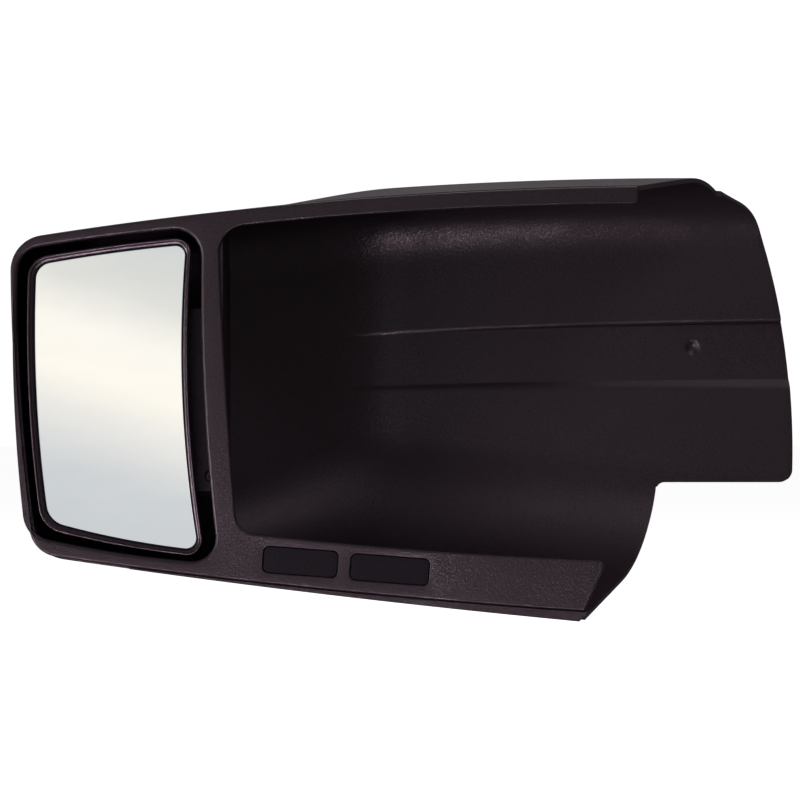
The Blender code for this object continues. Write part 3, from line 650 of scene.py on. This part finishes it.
def made_material(name):
    """The material of that name, made the first time that it is asked for."""
    if name in bpy.data.materials:
        return bpy.data.materials[name]
    finish = bpy.context.scene.mirror_finish
    grain = finish.grain
    if name == "grained_abs":
        return grained_plastic(name, finish.plastic, finish.roughness, grain)
    # The housing plastic again, darker: painted shade for the holder, bulkhead and carrier plate.
    if name == "shaded_pocket_plastic":
        return grained_plastic(name, finish.pocket_shade_colour, finish.roughness - 0.06, grain * 0.6, 0.35)
    if name == "grip_rubber":
        return soft_rubber(name, finish.rubber)
    if name == "white_acetal":
        return waxy_acetal(name)
    if name == "adhesive_foam":
        return cell_foam(name)
    if name == "ground_edge":
        return ground_edge(name)
    if name == "black_zinc":
        return plated_steel(name, (0.030, 0.029, 0.032), (0.055, 0.053, 0.056), 0.30, 0.48)
    if name == "washer_steel":
        return plated_steel(name, (0.27, 0.27, 0.29), (0.38, 0.38, 0.40), 0.22, 0.36)
    return silvered_glass(name)


# ---- The shell ----------------------------------------------------------------------------------

def shell_depth(x):
    return between((OUTBOARD_DEPTH, INBOARD_DEPTH), smooth(x, DEEPENS_FROM_X, DEEPENS_TO_X))


def shell_step(x, level):
    """(depth, fillet offset) at one level of the wall. Level 0 is at the face plane, 1 is where the
    fillet starts and 2 is where it meets the back wall."""
    depth = shell_depth(x)
    fillet = between((OUTBOARD_FILLET, INBOARD_FILLET), smooth(x, DEEPENS_FROM_X, DEEPENS_TO_X))
    if level <= 1:
        return (depth - fillet) * level, 0.0
    angle = (level - 1) * math.pi / 2
    return depth - fillet * (1 - math.sin(angle)), fillet * (1 - math.cos(angle))


def shell_inset(x, level, drafts):
    depth, offset = shell_step(x, level)
    return between(drafts, smooth(x, DEEPENS_FROM_X, DEEPENS_TO_X)) * depth + offset


def shell_ring(level, corner_steps, edge_steps):
    """One ring of the shell, from the top of its inboard end round to the bottom of it."""
    outboard = SHELL_CORNERS[1][0]
    side = shell_inset(outboard, level, (SIDE_DRAFT, SIDE_DRAFT))
    top = shell_inset(outboard, level, TOP_DRAFT)
    bottom = shell_inset(outboard, level, BOTTOM_DRAFT)
    moves = ((0.0, -top), (side, -top), (side, bottom), (0.0, bottom))
    corners = []
    for (x, z, radius, bow), (right, up) in zip(SHELL_CORNERS, moves):
        growth = CORNER_GROWTH * level / 2 if radius else 0.0
        corners.append((x + right, z + up, radius + growth, bow))
    ring = []
    for spot in rounded_outline(corners, False, corner_steps, edge_steps):
        extra_top = shell_inset(spot.x, level, TOP_DRAFT) - top
        extra_bottom = shell_inset(spot.x, level, BOTTOM_DRAFT) - bottom
        z = spot.y - extra_top if spot.y > 0 else spot.y + extra_bottom
        ring.append(Vector((spot.x, at_depth(shell_step(spot.x, level)[0]), z)))
    return ring


def band_depth(x, row):
    """How far the recessed band pushes the back wall out."""
    low, high = BAND_GROWS_X
    across = smooth(row, *BAND_TOP_ROWS) * (1 - smooth(row, *BAND_BOTTOM_ROWS))
    return BAND_DEPTH * across * min(max((x - low) / (high - low), 0.0), 1.0)


def band_share(x, row, top_z, bottom_z):
    """How far down the back wall a row lies, for the wall's heights at one x. It keeps the band's
    two edges straight."""
    along = (x - BAND_X[0]) / (BAND_X[1] - BAND_X[0])
    height = top_z - bottom_z
    upper = (top_z - between(BAND_TOP_Z, along)) / height
    lower = (top_z - between(BAND_LOW_Z, along)) / height
    rows = (0.0, BAND_TOP_ROWS[0], BAND_BOTTOM_ROWS[0], 1.0)
    shares = (0.0, upper, lower, 1.0)
    place = 0
    while place < 2 and row > rows[place + 1]:
        place += 1
    t = (row - rows[place]) / (rows[place + 1] - rows[place])
    return between(shares[place : place + 2], t)


def back_rows(across):
    """Shares of the way down the back wall, closer together where the band steps."""
    weights = []
    for row in range(across):
        middle = (row + 0.5) / across
        near_top = abs(middle - sum(BAND_TOP_ROWS) / 2) < 0.06
        near_bottom = abs(middle - sum(BAND_BOTTOM_ROWS) / 2) < 0.06
        weights.append(0.22 if near_top else 0.45 if near_bottom else 1.0)
    rows = [0.0]
    for weight in weights:
        rows.append(rows[-1] + weight / sum(weights))
    return rows


def shell_surface(levels, across, corner_steps, edge_steps):
    """The outer surface: rings down the walls, then a grid of rows over the back."""
    rows = back_rows(across)
    shape = bmesh.new()
    rings = []
    for level in levels:
        rings.append([shape.verts.new(spot) for spot in shell_ring(level, corner_steps, edge_steps)])
    for outer, inner in zip(rings, rings[1:]):
        for index in range(len(outer) - 1):
            shape.faces.new((outer[index], outer[index + 1], inner[index + 1], inner[index]))
    last = rings[-1]
    along = (len(last) - 1 - across) // 2
    top = last[: along + 1]
    left = last[along : along + across + 1]
    bottom = last[along + across :][::-1]
    grid = [top]
    for row in range(1, across):
        share = rows[row]
        down = band_share(top[-1].co.x, share, top[-1].co.z, bottom[-1].co.z)
        straight_left = top[-1].co.lerp(bottom[-1].co, down)
        line = []
        for column in range(along):
            pull = (column / along) ** 3
            high = top[column].co
            low = bottom[column].co
            spot = high.lerp(low, band_share(high.x, share, high.z, low.z))
            spot += (left[row].co - straight_left) * pull
            spot.y = at_depth(shell_depth(spot.x) + band_depth(spot.x, share))
            line.append(shape.verts.new(spot))
        grid.append(line + [left[row]])
    grid.append(bottom)
    for upper, lower in zip(grid, grid[1:]):
        for column in range(along):
            shape.faces.new((upper[column], upper[column + 1], lower[column + 1], lower[column]))
    bmesh.ops.recalc_face_normals(shape, faces=shape.faces)
    middle = min(shape.faces, key=lambda face: (face.calc_center_median() - Vector((0.2, 0.06, 0))).length)
    if middle.normal.y < 0:
        bmesh.ops.reverse_faces(shape, faces=shape.faces)
    mesh = bpy.data.meshes.new("shell")
    shape.to_mesh(mesh)
    shape.free()
    obj = bpy.data.objects.new("shell", mesh)
    bpy.context.scene.collection.objects.link(obj)
    return obj


def top_end_trim():
    """The cutter for the slanting end of the top wall, an outline in plan."""
    top = [
        (TOP_END_X[0], at_depth(0)),
        (TOP_END_X[1], at_depth(TOP_END_DEPTH)),
        (TOP_END_BEYOND_X, at_depth(TOP_END_DEPTH + TOP_END_RUNS_ON)),
        (TOP_END_BEYOND_X, at_depth(BEYOND_FRONT)),
        (TOP_END_X[0], at_depth(BEYOND_FRONT)),
    ]
    return slab("top_end_trim", top, TOP_END_LOWEST_Z, TOP_END_BEYOND_Z, plan=True)


def shell_trims():
    """Cutters for the back wall's free edge and for the slanting end of the bottom wall."""
    front = at_depth(BEYOND_FRONT)
    back = at_depth(BEYOND_BACK)
    yield slab("free_edge_trim", rounded_outline(FREE_EDGE), front, back)
    bottom = [
        (BOTTOM_END_X[0], front),
        (BOTTOM_END_X[0], at_depth(0)),
        (BOTTOM_END_X[1], at_depth(INBOARD_DEPTH)),
        (BOTTOM_END_X[1] + BOTTOM_END_RUNS_ON, back),
        (BOTTOM_END_BEYOND_X, back),
        (BOTTOM_END_BEYOND_X, front),
    ]
    yield slab("bottom_end_trim", bottom, BOTTOM_END_BEYOND_Z, BOTTOM_END_HIGHEST_Z, plan=True)


def press_dimple(obj, radius, depth):
    """Refines the inner wall round the dimple, then dishes it."""
    shape = bmesh.new()
    shape.from_mesh(obj.data)
    wall = shell_depth(DIMPLE[0]) + band_depth(DIMPLE[0], sum(BAND_TOP_ROWS) / 2 + 0.1) - WALL

    def distance(spot):
        return math.hypot(spot.x - DIMPLE[0], spot.z - DIMPLE[1])

    def inner(spot):
        return abs(spot.y - at_depth(wall)) < WALL * 0.6

    for reach in (2.6, 1.7, 1.3):
        near = {vert for vert in shape.verts if inner(vert.co) and distance(vert.co) < radius * reach}
        faces = [face for face in shape.faces if near.issuperset(face.verts)]
        edges = list({edge for face in faces for edge in face.edges})
        bmesh.ops.subdivide_edges(shape, edges=edges, cuts=1, use_grid_fill=True)
    for vert in shape.verts:
        if inner(vert.co):
            share = min(distance(vert.co) / radius, 1.0)
            vert.co.y += depth * (1 - smooth(share, 0.12, 1.0))
    shape.to_mesh(obj.data)
    shape.free()


def build_shell():
    settings = bpy.context.scene.mirror_mesh
    walls = [step / 10 for step in range(10)]
    fillet = [1 + step / 22 for step in range(23)]
    shell = shell_surface(walls + fillet, 96, settings.corner_steps, settings.edge_steps)
    trims = list(shell_trims())
    for trim in trims:
        cut(shell, trim)
    weld = shell.modifiers.new("weld", "WELD")
    weld.merge_threshold = 0.00012
    skin = shell.modifiers.new("wall", "SOLIDIFY")
    skin.thickness = WALL
    skin.offset = -1
    skin.use_even_offset = True
    edges = shell.modifiers.new("soft_edges", "BEVEL")
    edges.width = settings.rim_round
    edges.segments = 3
    edges.limit_method = "ANGLE"
    edges.angle_limit = math.radians(55)
    edges.use_clamp_overlap = True
    settle(shell, trims)
    rim_end = at_depth(FACE_THICKNESS + GAP)
    rim_trim = slab("rim_trim", RIM_TRIM_OUTLINE, at_depth(RIM_TRIM_FRONT), rim_end)
    end_trim = top_end_trim()
    cut(shell, rim_trim)
    cut(shell, end_trim)
    settle(shell, [rim_trim, end_trim])
    press_dimple(shell, settings.dimple_radius, settings.dimple_depth)
    shell.data.shade_smooth()
    shell.data.set_sharp_from_angle(angle=math.radians(42))
    shell.name = "sleeve_shell"
    return shell


def outline_z(points, x):
    """Where an outline crosses one x, at its lowest."""
    crossings = []
    for start, end in zip(points, points[1:] + points[:1]):
        if min(start.x, end.x) <= x < max(start.x, end.x):
            crossings.append(start.y + (end.y - start.y) * (x - start.x) / (end.x - start.x))
    return min(crossings)


def build_sill():
    """The shell's lip along the foot of the face frame."""
    outline = rounded_outline(FRAME_OUTLINE)
    shell = rounded_outline(SHELL_CORNERS, edge_steps=60)
    steps = 80
    upper = []
    lower = []
    for step in range(steps + 1):
        x = between(SILL_X, step / steps)
        foot_x = between((SILL_X[0], SILL_FOOT_X), step / steps)
        upper.append((x, outline_z(outline, x) - GAP))
        lower.append((foot_x, outline_z(shell, foot_x) + 0.0002))
    upper.append(SILL_TIP)
    sill = slab("shell_sill", upper + lower[::-1], at_depth(SILL_FRONT), at_depth(SILL_BACK))
    edges = sill.modifiers.new("soft_edges", "BEVEL")
    edges.width = SILL_EDGE
    edges.segments = 3
    edges.limit_method = "ANGLE"
    edges.angle_limit = math.radians(55)
    settle(sill)
    return sill


# ---- The face frame, the pads and the glass -----------------------------------------------------

def pad_corners(name, grow):
    x, z, length = GRIP_PADS[name]
    half = Vector((length / 2 + grow, PAD_HEIGHT / 2 + grow))
    corners = []
    for side, rise in ((-1, 1), (1, 1), (1, -1), (-1, -1)):
        spot = turned(Vector((side * half.x, rise * half.y)), PAD_TILT) + Vector((x, z))
        corners.append((spot.x, spot.y, PAD_CORNER + grow, 0.0))
    return corners


def hole_rings(shape, corners, radius, back):
    """Rings of a hole through the face, with a rounded edge. Returns those on the front and the back."""
    profile = [(0.0, back)] + quarter(radius)
    rings = [add_ring(shape, rounded_outline(inset(corners, -move)), depth) for move, depth in profile]
    skin_rings(shape, rings)
    return rings[-1], rings[0]


def build_face():
    """The flat C-shaped face, with the mirror opening and the two pad holes."""
    settings = bpy.context.scene.mirror_mesh
    shape = bmesh.new()
    radius = settings.edge_round
    profile = [(0.0002, FACE_THICKNESS), (0.0, FACE_THICKNESS - 0.0002)] + quarter(radius)
    profile.append((radius + 0.0004, 0.0))
    rings = [add_ring(shape, rounded_outline(inset(FRAME_OUTLINE, move)), depth) for move, depth in profile]
    skin_rings(shape, rings)
    fronts = [rings[-1]]
    backs = [rings[0]]
    holes = [(MIRROR_OPENING, settings.opening_round)]
    holes += [(pad_corners(name, 0.0), PAD_HOLE_EDGE) for name in GRIP_PADS]
    for corners, edge in holes:
        front, back = hole_rings(shape, corners, edge, FACE_THICKNESS)
        fronts.append(front)
        backs.append(back)
    cap(shape, *fronts)
    cap(shape, *backs)
    return as_object(shape, "face_moulding")


def build_pad(name):
    """One grip pad: a plug with a soft edge, on a wider foot."""
    shape = bmesh.new()
    foot = FACE_THICKNESS + GAP
    profile = [(-PAD_FLANGE, foot + PAD_FOOT_THICKNESS), (-PAD_FLANGE, foot), (GAP, foot)]
    profile += [(move + GAP, depth + PAD_FACE_DEPTH) for move, depth in quarter(PAD_EDGE)]
    rings = []
    for move, depth in profile:
        rings.append(add_ring(shape, rounded_outline(pad_corners(name, -move)), depth))
    skin_rings(shape, rings)
    cap(shape, rings[0])
    cap(shape, rings[-1])
    return as_object(shape, name + "_moulding")


def build_holder():
    """The glass holder: a rounded bead, then a groove that slopes in to the glass."""
    outer = rounded_outline(HOLDER_OUTLINE)
    seat = rounded_outline(inset(GLASS_OUTLINE, -0.0004))
    bead = HOLDER_BEAD
    profile = [(0.56, HOLDER_BACK), (0.50, HOLDER_BACK - 0.0003), (0.48, HOLDER_WALL_BACK + 0.0002)]
    profile += [(0.04, HOLDER_WALL_BACK), (0.0, HOLDER_WALL_BACK - 0.0003), (0.0, HOLDER_FRONT + bead)]
    for step in range(1, 13):
        turn = math.pi * step / 12
        profile.append((0.25 * (1 - math.cos(turn)), HOLDER_FRONT + bead * (1 - math.sin(turn))))
    profile.append((0.56, HOLDER_FRONT + bead * 0.98))
    profile += [(0.95, GLASS_FRONT + 0.0005), (1.0, GLASS_FRONT + 0.0008)]
    profile.append((1.0, HOLDER_FLOOR))
    shape = bmesh.new()
    rings = []
    for share, depth in profile:
        points = [start.lerp(end, share) for start, end in zip(outer, seat)]
        rings.append(add_ring(shape, points, depth))
    skin_rings(shape, rings)
    cap(shape, rings[0])
    cap(shape, rings[-1])
    return as_object(shape, "glass_surround")


def build_holder_bosses():
    """Four short tubes on the holder's back, under the pivot plate's screws."""
    shape = bmesh.new()
    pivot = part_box("pivot_plate")
    for number in (1, 2, 3, 4):
        low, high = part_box(f"plate_screw_{number}")
        centre = Vector(((low[0] + high[0]) / 2, (low[2] + high[2]) / 2))
        front = HOLDER_BACK - 0.0003
        back = pivot[0][1] - FACE_Y - GAP
        edge = BOSS_RADIUS - BOSS_EDGE
        profile = [(BOSS_RADIUS, front), (BOSS_RADIUS, back - BOSS_EDGE), (edge, back)]
        profile += [(BOSS_BORE + BOSS_EDGE, back), (BOSS_BORE, front)]
        rings = []
        for radius, depth in profile:
            turns = [math.tau * step / 32 for step in range(32)]
            points = [centre + turned(Vector((radius, 0)), turn) for turn in turns]
            rings.append(add_ring(shape, points, depth))
        skin_rings(shape, rings + rings[:1])
    return as_object(shape, "holder_bosses")


def ground_edge(name):
    """The glass's ground rim: grey-green and rough."""
    nodes = Nodes(name)
    chatter = nodes.noise(900.0, 3.0)
    tone = nodes.mixed(nodes.ranged(chatter, 0.0, 1.0), (0.010, 0.013, 0.012), (0.024, 0.030, 0.028))
    return nodes.finish(tone, nodes.ranged(chatter, 0.50, 0.70), nodes.bump(chatter, 0.00005))


def build_glass():
    """The glass, with a ground edge."""
    shape = bmesh.new()
    back = GLASS_FRONT + GLASS_THICKNESS
    profile = [(0.0, back)] + [(move, depth + GLASS_FRONT) for move, depth in quarter(GLASS_EDGE, 4)]
    profile.append((0.0009, GLASS_FRONT))
    rings = [add_ring(shape, rounded_outline(inset(GLASS_OUTLINE, move)), depth) for move, depth in profile]
    skin_rings(shape, rings)
    cap(shape, rings[0])
    cap(shape, rings[-1])
    for face in shape.faces:
        face.material_index = 0 if face.calc_center_median().y < at_depth(GLASS_FRONT) + 0.00001 else 1
    return as_object(shape, "silvered_pane")


# ---- The studio ---------------------------------------------------------------------------------

def softbox(name, power):
    place, target, size, colour = SOFTBOXES[name]
    light = bpy.data.lights.new(name, "AREA")
    light.shape = "RECTANGLE"
    light.size = size[0]
    light.size_y = size[1]
    light.energy = power
    light.color = colour
    obj = bpy.data.objects.new(name, light)
    obj.location = place
    obj.rotation_euler = (Vector(target) - Vector(place)).to_track_quat("-Z", "Y").to_euler()
    bpy.context.scene.collection.objects.link(obj)
    return obj


def build_floor(height):
    shape = bmesh.new()
    bmesh.ops.create_grid(shape, x_segments=1, y_segments=1, size=FLOOR_SIZE)
    floor = as_object(shape, "studio_floor")
    floor.location.z = height
    nodes = Nodes("pale_floor")
    speckle = nodes.noise(30.0, 4.0)
    tone = nodes.mixed(nodes.ranged(speckle, 0.0, 1.0), (0.93, 0.93, 0.925), (0.95, 0.95, 0.945))
    dull = nodes.ranged(speckle, 0.86, 0.94)
    nodes.shader.inputs["Emission Color"].default_value = (1.0, 1.0, 1.0, 1.0)
    nodes.shader.inputs["Emission Strength"].default_value = 0.86
    floor.data.materials.append(nodes.finish(tone, dull, nodes.bump(speckle, 0.0002, 0.2)))
    floor.visible_diffuse = False
    floor.visible_glossy = False
    floor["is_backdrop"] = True


def build_reflection_card():
    """A graded card behind the camera, for the glass to reflect: a warm white band between greys."""
    shape = bmesh.new()
    shape.faces.new([shape.verts.new((x, 0.0, z)) for x, z in CARD_CORNERS])
    card = as_object(shape, "reflection_card")
    card.location = (0.0, FACE_Y - CARD_DISTANCE, 0.0)
    material = bpy.data.materials.new("graded_card")
    material.use_nodes = True
    tree = material.node_tree
    tree.nodes.clear()
    place = tree.nodes.new("ShaderNodeTexCoord")
    across = tree.nodes.new("ShaderNodeVectorMath")
    across.operation = "DOT_PRODUCT"
    across.inputs[1].default_value = (0.31, 0.0, 1.0)
    spread = tree.nodes.new("ShaderNodeMapRange")
    spread.inputs["From Min"].default_value = -0.365
    spread.inputs["From Max"].default_value = 0.235
    ramp = tree.nodes.new("ShaderNodeValToRGB")
    stops = (
        (0.0, (0.60, 0.63, 0.66)),
        (0.22, (0.64, 0.67, 0.69)),
        (0.36, (0.84, 0.83, 0.80)),
        (0.47, (1.02, 0.98, 0.89)),
        (0.60, (1.00, 0.97, 0.90)),
        (0.73, (0.76, 0.76, 0.73)),
        (1.0, (0.58, 0.62, 0.63)),
    )
    while len(ramp.color_ramp.elements) < len(stops):
        ramp.color_ramp.elements.new(0.5)
    for element, (position, colour) in zip(ramp.color_ramp.elements, stops):
        element.position = position
        element.color = (*colour, 1.0)
    glow = tree.nodes.new("ShaderNodeEmission")
    output = tree.nodes.new("ShaderNodeOutputMaterial")
    tree.links.new(place.outputs["Object"], across.inputs[0])
    tree.links.new(across.outputs["Value"], spread.inputs["Value"])
    tree.links.new(spread.outputs["Result"], ramp.inputs["Fac"])
    tree.links.new(ramp.outputs["Color"], glow.inputs["Color"])
    tree.links.new(glow.outputs["Emission"], output.inputs["Surface"])
    card.data.materials.append(material)
    card.visible_camera = False
    card.visible_diffuse = False
    card.visible_shadow = False
    card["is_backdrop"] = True


def build_surroundings(strength):
    """A white backdrop, with a dim even room for everything that isn't seen directly."""
    world = bpy.data.worlds.new("studio")
    world.use_nodes = True
    tree = world.node_tree
    tree.nodes.clear()
    path = tree.nodes.new("ShaderNodeLightPath")
    room = tree.nodes.new("ShaderNodeBackground")
    room.inputs["Color"].default_value = (1.0, 0.97, 0.98, 1.0)
    room.inputs["Strength"].default_value = strength
    backdrop = tree.nodes.new("ShaderNodeBackground")
    backdrop.inputs["Color"].default_value = (1.0, 1.0, 1.0, 1.0)
    backdrop.inputs["Strength"].default_value = BACKDROP_STRENGTH
    mix = tree.nodes.new("ShaderNodeMixShader")
    output = tree.nodes.new("ShaderNodeOutputWorld")
    tree.links.new(path.outputs["Is Camera Ray"], mix.inputs["Fac"])
    tree.links.new(room.outputs["Background"], mix.inputs[1])
    tree.links.new(backdrop.outputs["Background"], mix.inputs[2])
    tree.links.new(mix.outputs["Shader"], output.inputs["Surface"])
    bpy.context.scene.world = world


def build_camera(settings):
    data = bpy.data.cameras.new("camera")
    data.sensor_width = 36.0
    data.angle = settings.field_of_view
    camera = bpy.data.objects.new("camera", data)
    camera.location = (settings.camera_x, FACE_Y - settings.camera_distance, 0.0)
    camera.rotation_euler = (math.radians(90), 0.0, 0.0)
    bpy.context.scene.collection.objects.link(camera)
    bpy.context.scene.camera = camera


# ---- Operators ----------------------------------------------------------------------------------

class MIRROR_OT_stage(bpy.types.Operator):
    """Make the camera, the floor, the lights and the card that the glass reflects"""

    bl_idname = "towing_mirror.stage"
    bl_label = "Stage"

    def execute(self, context):
        studio = context.scene.mirror_studio
        build_camera(studio)
        build_floor(CAD_BOX[0][2] - studio.floor_drop)
        build_reflection_card()
        build_surroundings(studio.surroundings)
        softbox("key", studio.key_power)
        softbox("side", studio.side_power)
        softbox("accent", studio.accent_power)
        softbox("top", studio.top_power)
        context.scene.view_settings.view_transform = "Standard"
        return {"FINISHED"}


class MIRROR_OT_shell(bpy.types.Operator):
    """Make the deep sleeve shell with its recessed band and its sill"""

    bl_idname = "towing_mirror.shell"
    bl_label = "Sleeve shell"

    def execute(self, context):
        material = made_material("grained_abs")
        finish_piece(build_shell(), "housing", material, "abs", "back_shell")
        finish_piece(build_sill(), "housing", material, "abs", "back_shell")
        return {"FINISHED"}


class MIRROR_OT_face(bpy.types.Operator):
    """Make the C-shaped face frame"""

    bl_idname = "towing_mirror.face"
    bl_label = "Face frame"

    def execute(self, context):
        finish_piece(build_face(), "housing", made_material("grained_abs"), "abs", "face_frame")
        return {"FINISHED"}


class MIRROR_OT_pads(bpy.types.Operator):
    """Make the two grip pads in the lower flange"""

    bl_idname = "towing_mirror.pads"
    bl_label = "Grip pads"

    def execute(self, context):
        for name in GRIP_PADS:
            finish_piece(build_pad(name), "housing", made_material("grip_rubber"), "rubber", name)
        return {"FINISHED"}


class MIRROR_OT_holder(bpy.types.Operator):
    """Make the glass holder and its bosses"""

    bl_idname = "towing_mirror.holder"
    bl_label = "Glass holder"

    def execute(self, context):
        # The holder takes the darker plastic, painted shade for the pocket.
        material = made_material("shaded_pocket_plastic")
        finish_piece(build_holder(), "glass_unit", material, "pocket_abs", "glass_holder")
        finish_piece(build_holder_bosses(), "glass_unit", material, "pocket_abs", "glass_holder")
        return {"FINISHED"}


class MIRROR_OT_glass(bpy.types.Operator):
    """Make the silvered glass"""

    bl_idname = "towing_mirror.glass"
    bl_label = "Glass"

    def execute(self, context):
        glass = build_glass()
        indices = [face.material_index for face in glass.data.polygons]
        finish_piece(glass, "glass_unit", made_material("silvered"), "silvered_glass", "mirror_glass")
        glass.data.materials.append(made_material("ground_edge"))
        glass.data.polygons.foreach_set("material_index", indices)
        return {"FINISHED"}


class MIRROR_OT_fittings(bpy.types.Operator):
    """Finish the parts behind the glass that keep their own solids"""

    bl_idname = "towing_mirror.fittings"
    bl_label = "Fittings"

    def execute(self, context):
        names = {
            "pocket_abs": "shaded_pocket_plastic",
            "acetal": "white_acetal",
            "foam": "adhesive_foam",
            "zinc_steel": "black_zinc",
            "spring_steel": "washer_steel",
        }
        for slot, nodes in CAD_FINISHES.items():
            material = made_material(names[slot])
            for node in nodes:
                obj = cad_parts[node]
                if not obj.material_slots:
                    obj.data.materials.append(material)
                for place in obj.material_slots:
                    place.material = material
                edges = obj.modifiers.new("soft_edges", "BEVEL")
                edges.width = 0.00025 if "steel" in slot else 0.0004
                edges.segments = 2
                edges.limit_method = "ANGLE"
                edges.angle_limit = math.radians(50)
        return {"FINISHED"}


class MIRROR_PT_panel(bpy.types.Panel):
    """Lists the operators and their settings"""

    bl_idname = "MIRROR_PT_panel"
    bl_label = "Towing Mirror"
    bl_space_type = "VIEW_3D"
    bl_region_type = "UI"
    bl_category = "Towing Mirror"

    def draw(self, context):
        layout = self.layout
        scene = context.scene
        for operator in OPERATORS:
            layout.operator(operator.bl_idname)
        for group in (scene.mirror_mesh, scene.mirror_finish, scene.mirror_studio):
            box = layout.box()
            for name in group.__annotations__:
                box.prop(group, name)


OPERATORS = (
    MIRROR_OT_stage,
    MIRROR_OT_shell,
    MIRROR_OT_face,
    MIRROR_OT_pads,
    MIRROR_OT_holder,
    MIRROR_OT_glass,
    MIRROR_OT_fittings,
)
GROUPS = {"mirror_mesh": MeshSettings, "mirror_finish": FinishSettings, "mirror_studio": StudioSettings}


def register():
    for kind in (*GROUPS.values(), *OPERATORS, MIRROR_PT_panel):
        bpy.utils.register_class(kind)
    for name, kind in GROUPS.items():
        setattr(bpy.types.Scene, name, bpy.props.PointerProperty(type=kind))


def unregister():
    for name in GROUPS:
        delattr(bpy.types.Scene, name)
    for kind in reversed((*GROUPS.values(), *OPERATORS, MIRROR_PT_panel)):
        bpy.utils.unregister_class(kind)


def main():
    register()
    for operator in OPERATORS:
        family, name = operator.bl_idname.split(".")
        getattr(getattr(bpy.ops, family), name)()
    boxes = {"cad": CAD_BOX, "visual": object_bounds()}
    {name: [list(corner) for corner in box] for name, box in boxes.items()}


if __name__ == "__main__":
    main()
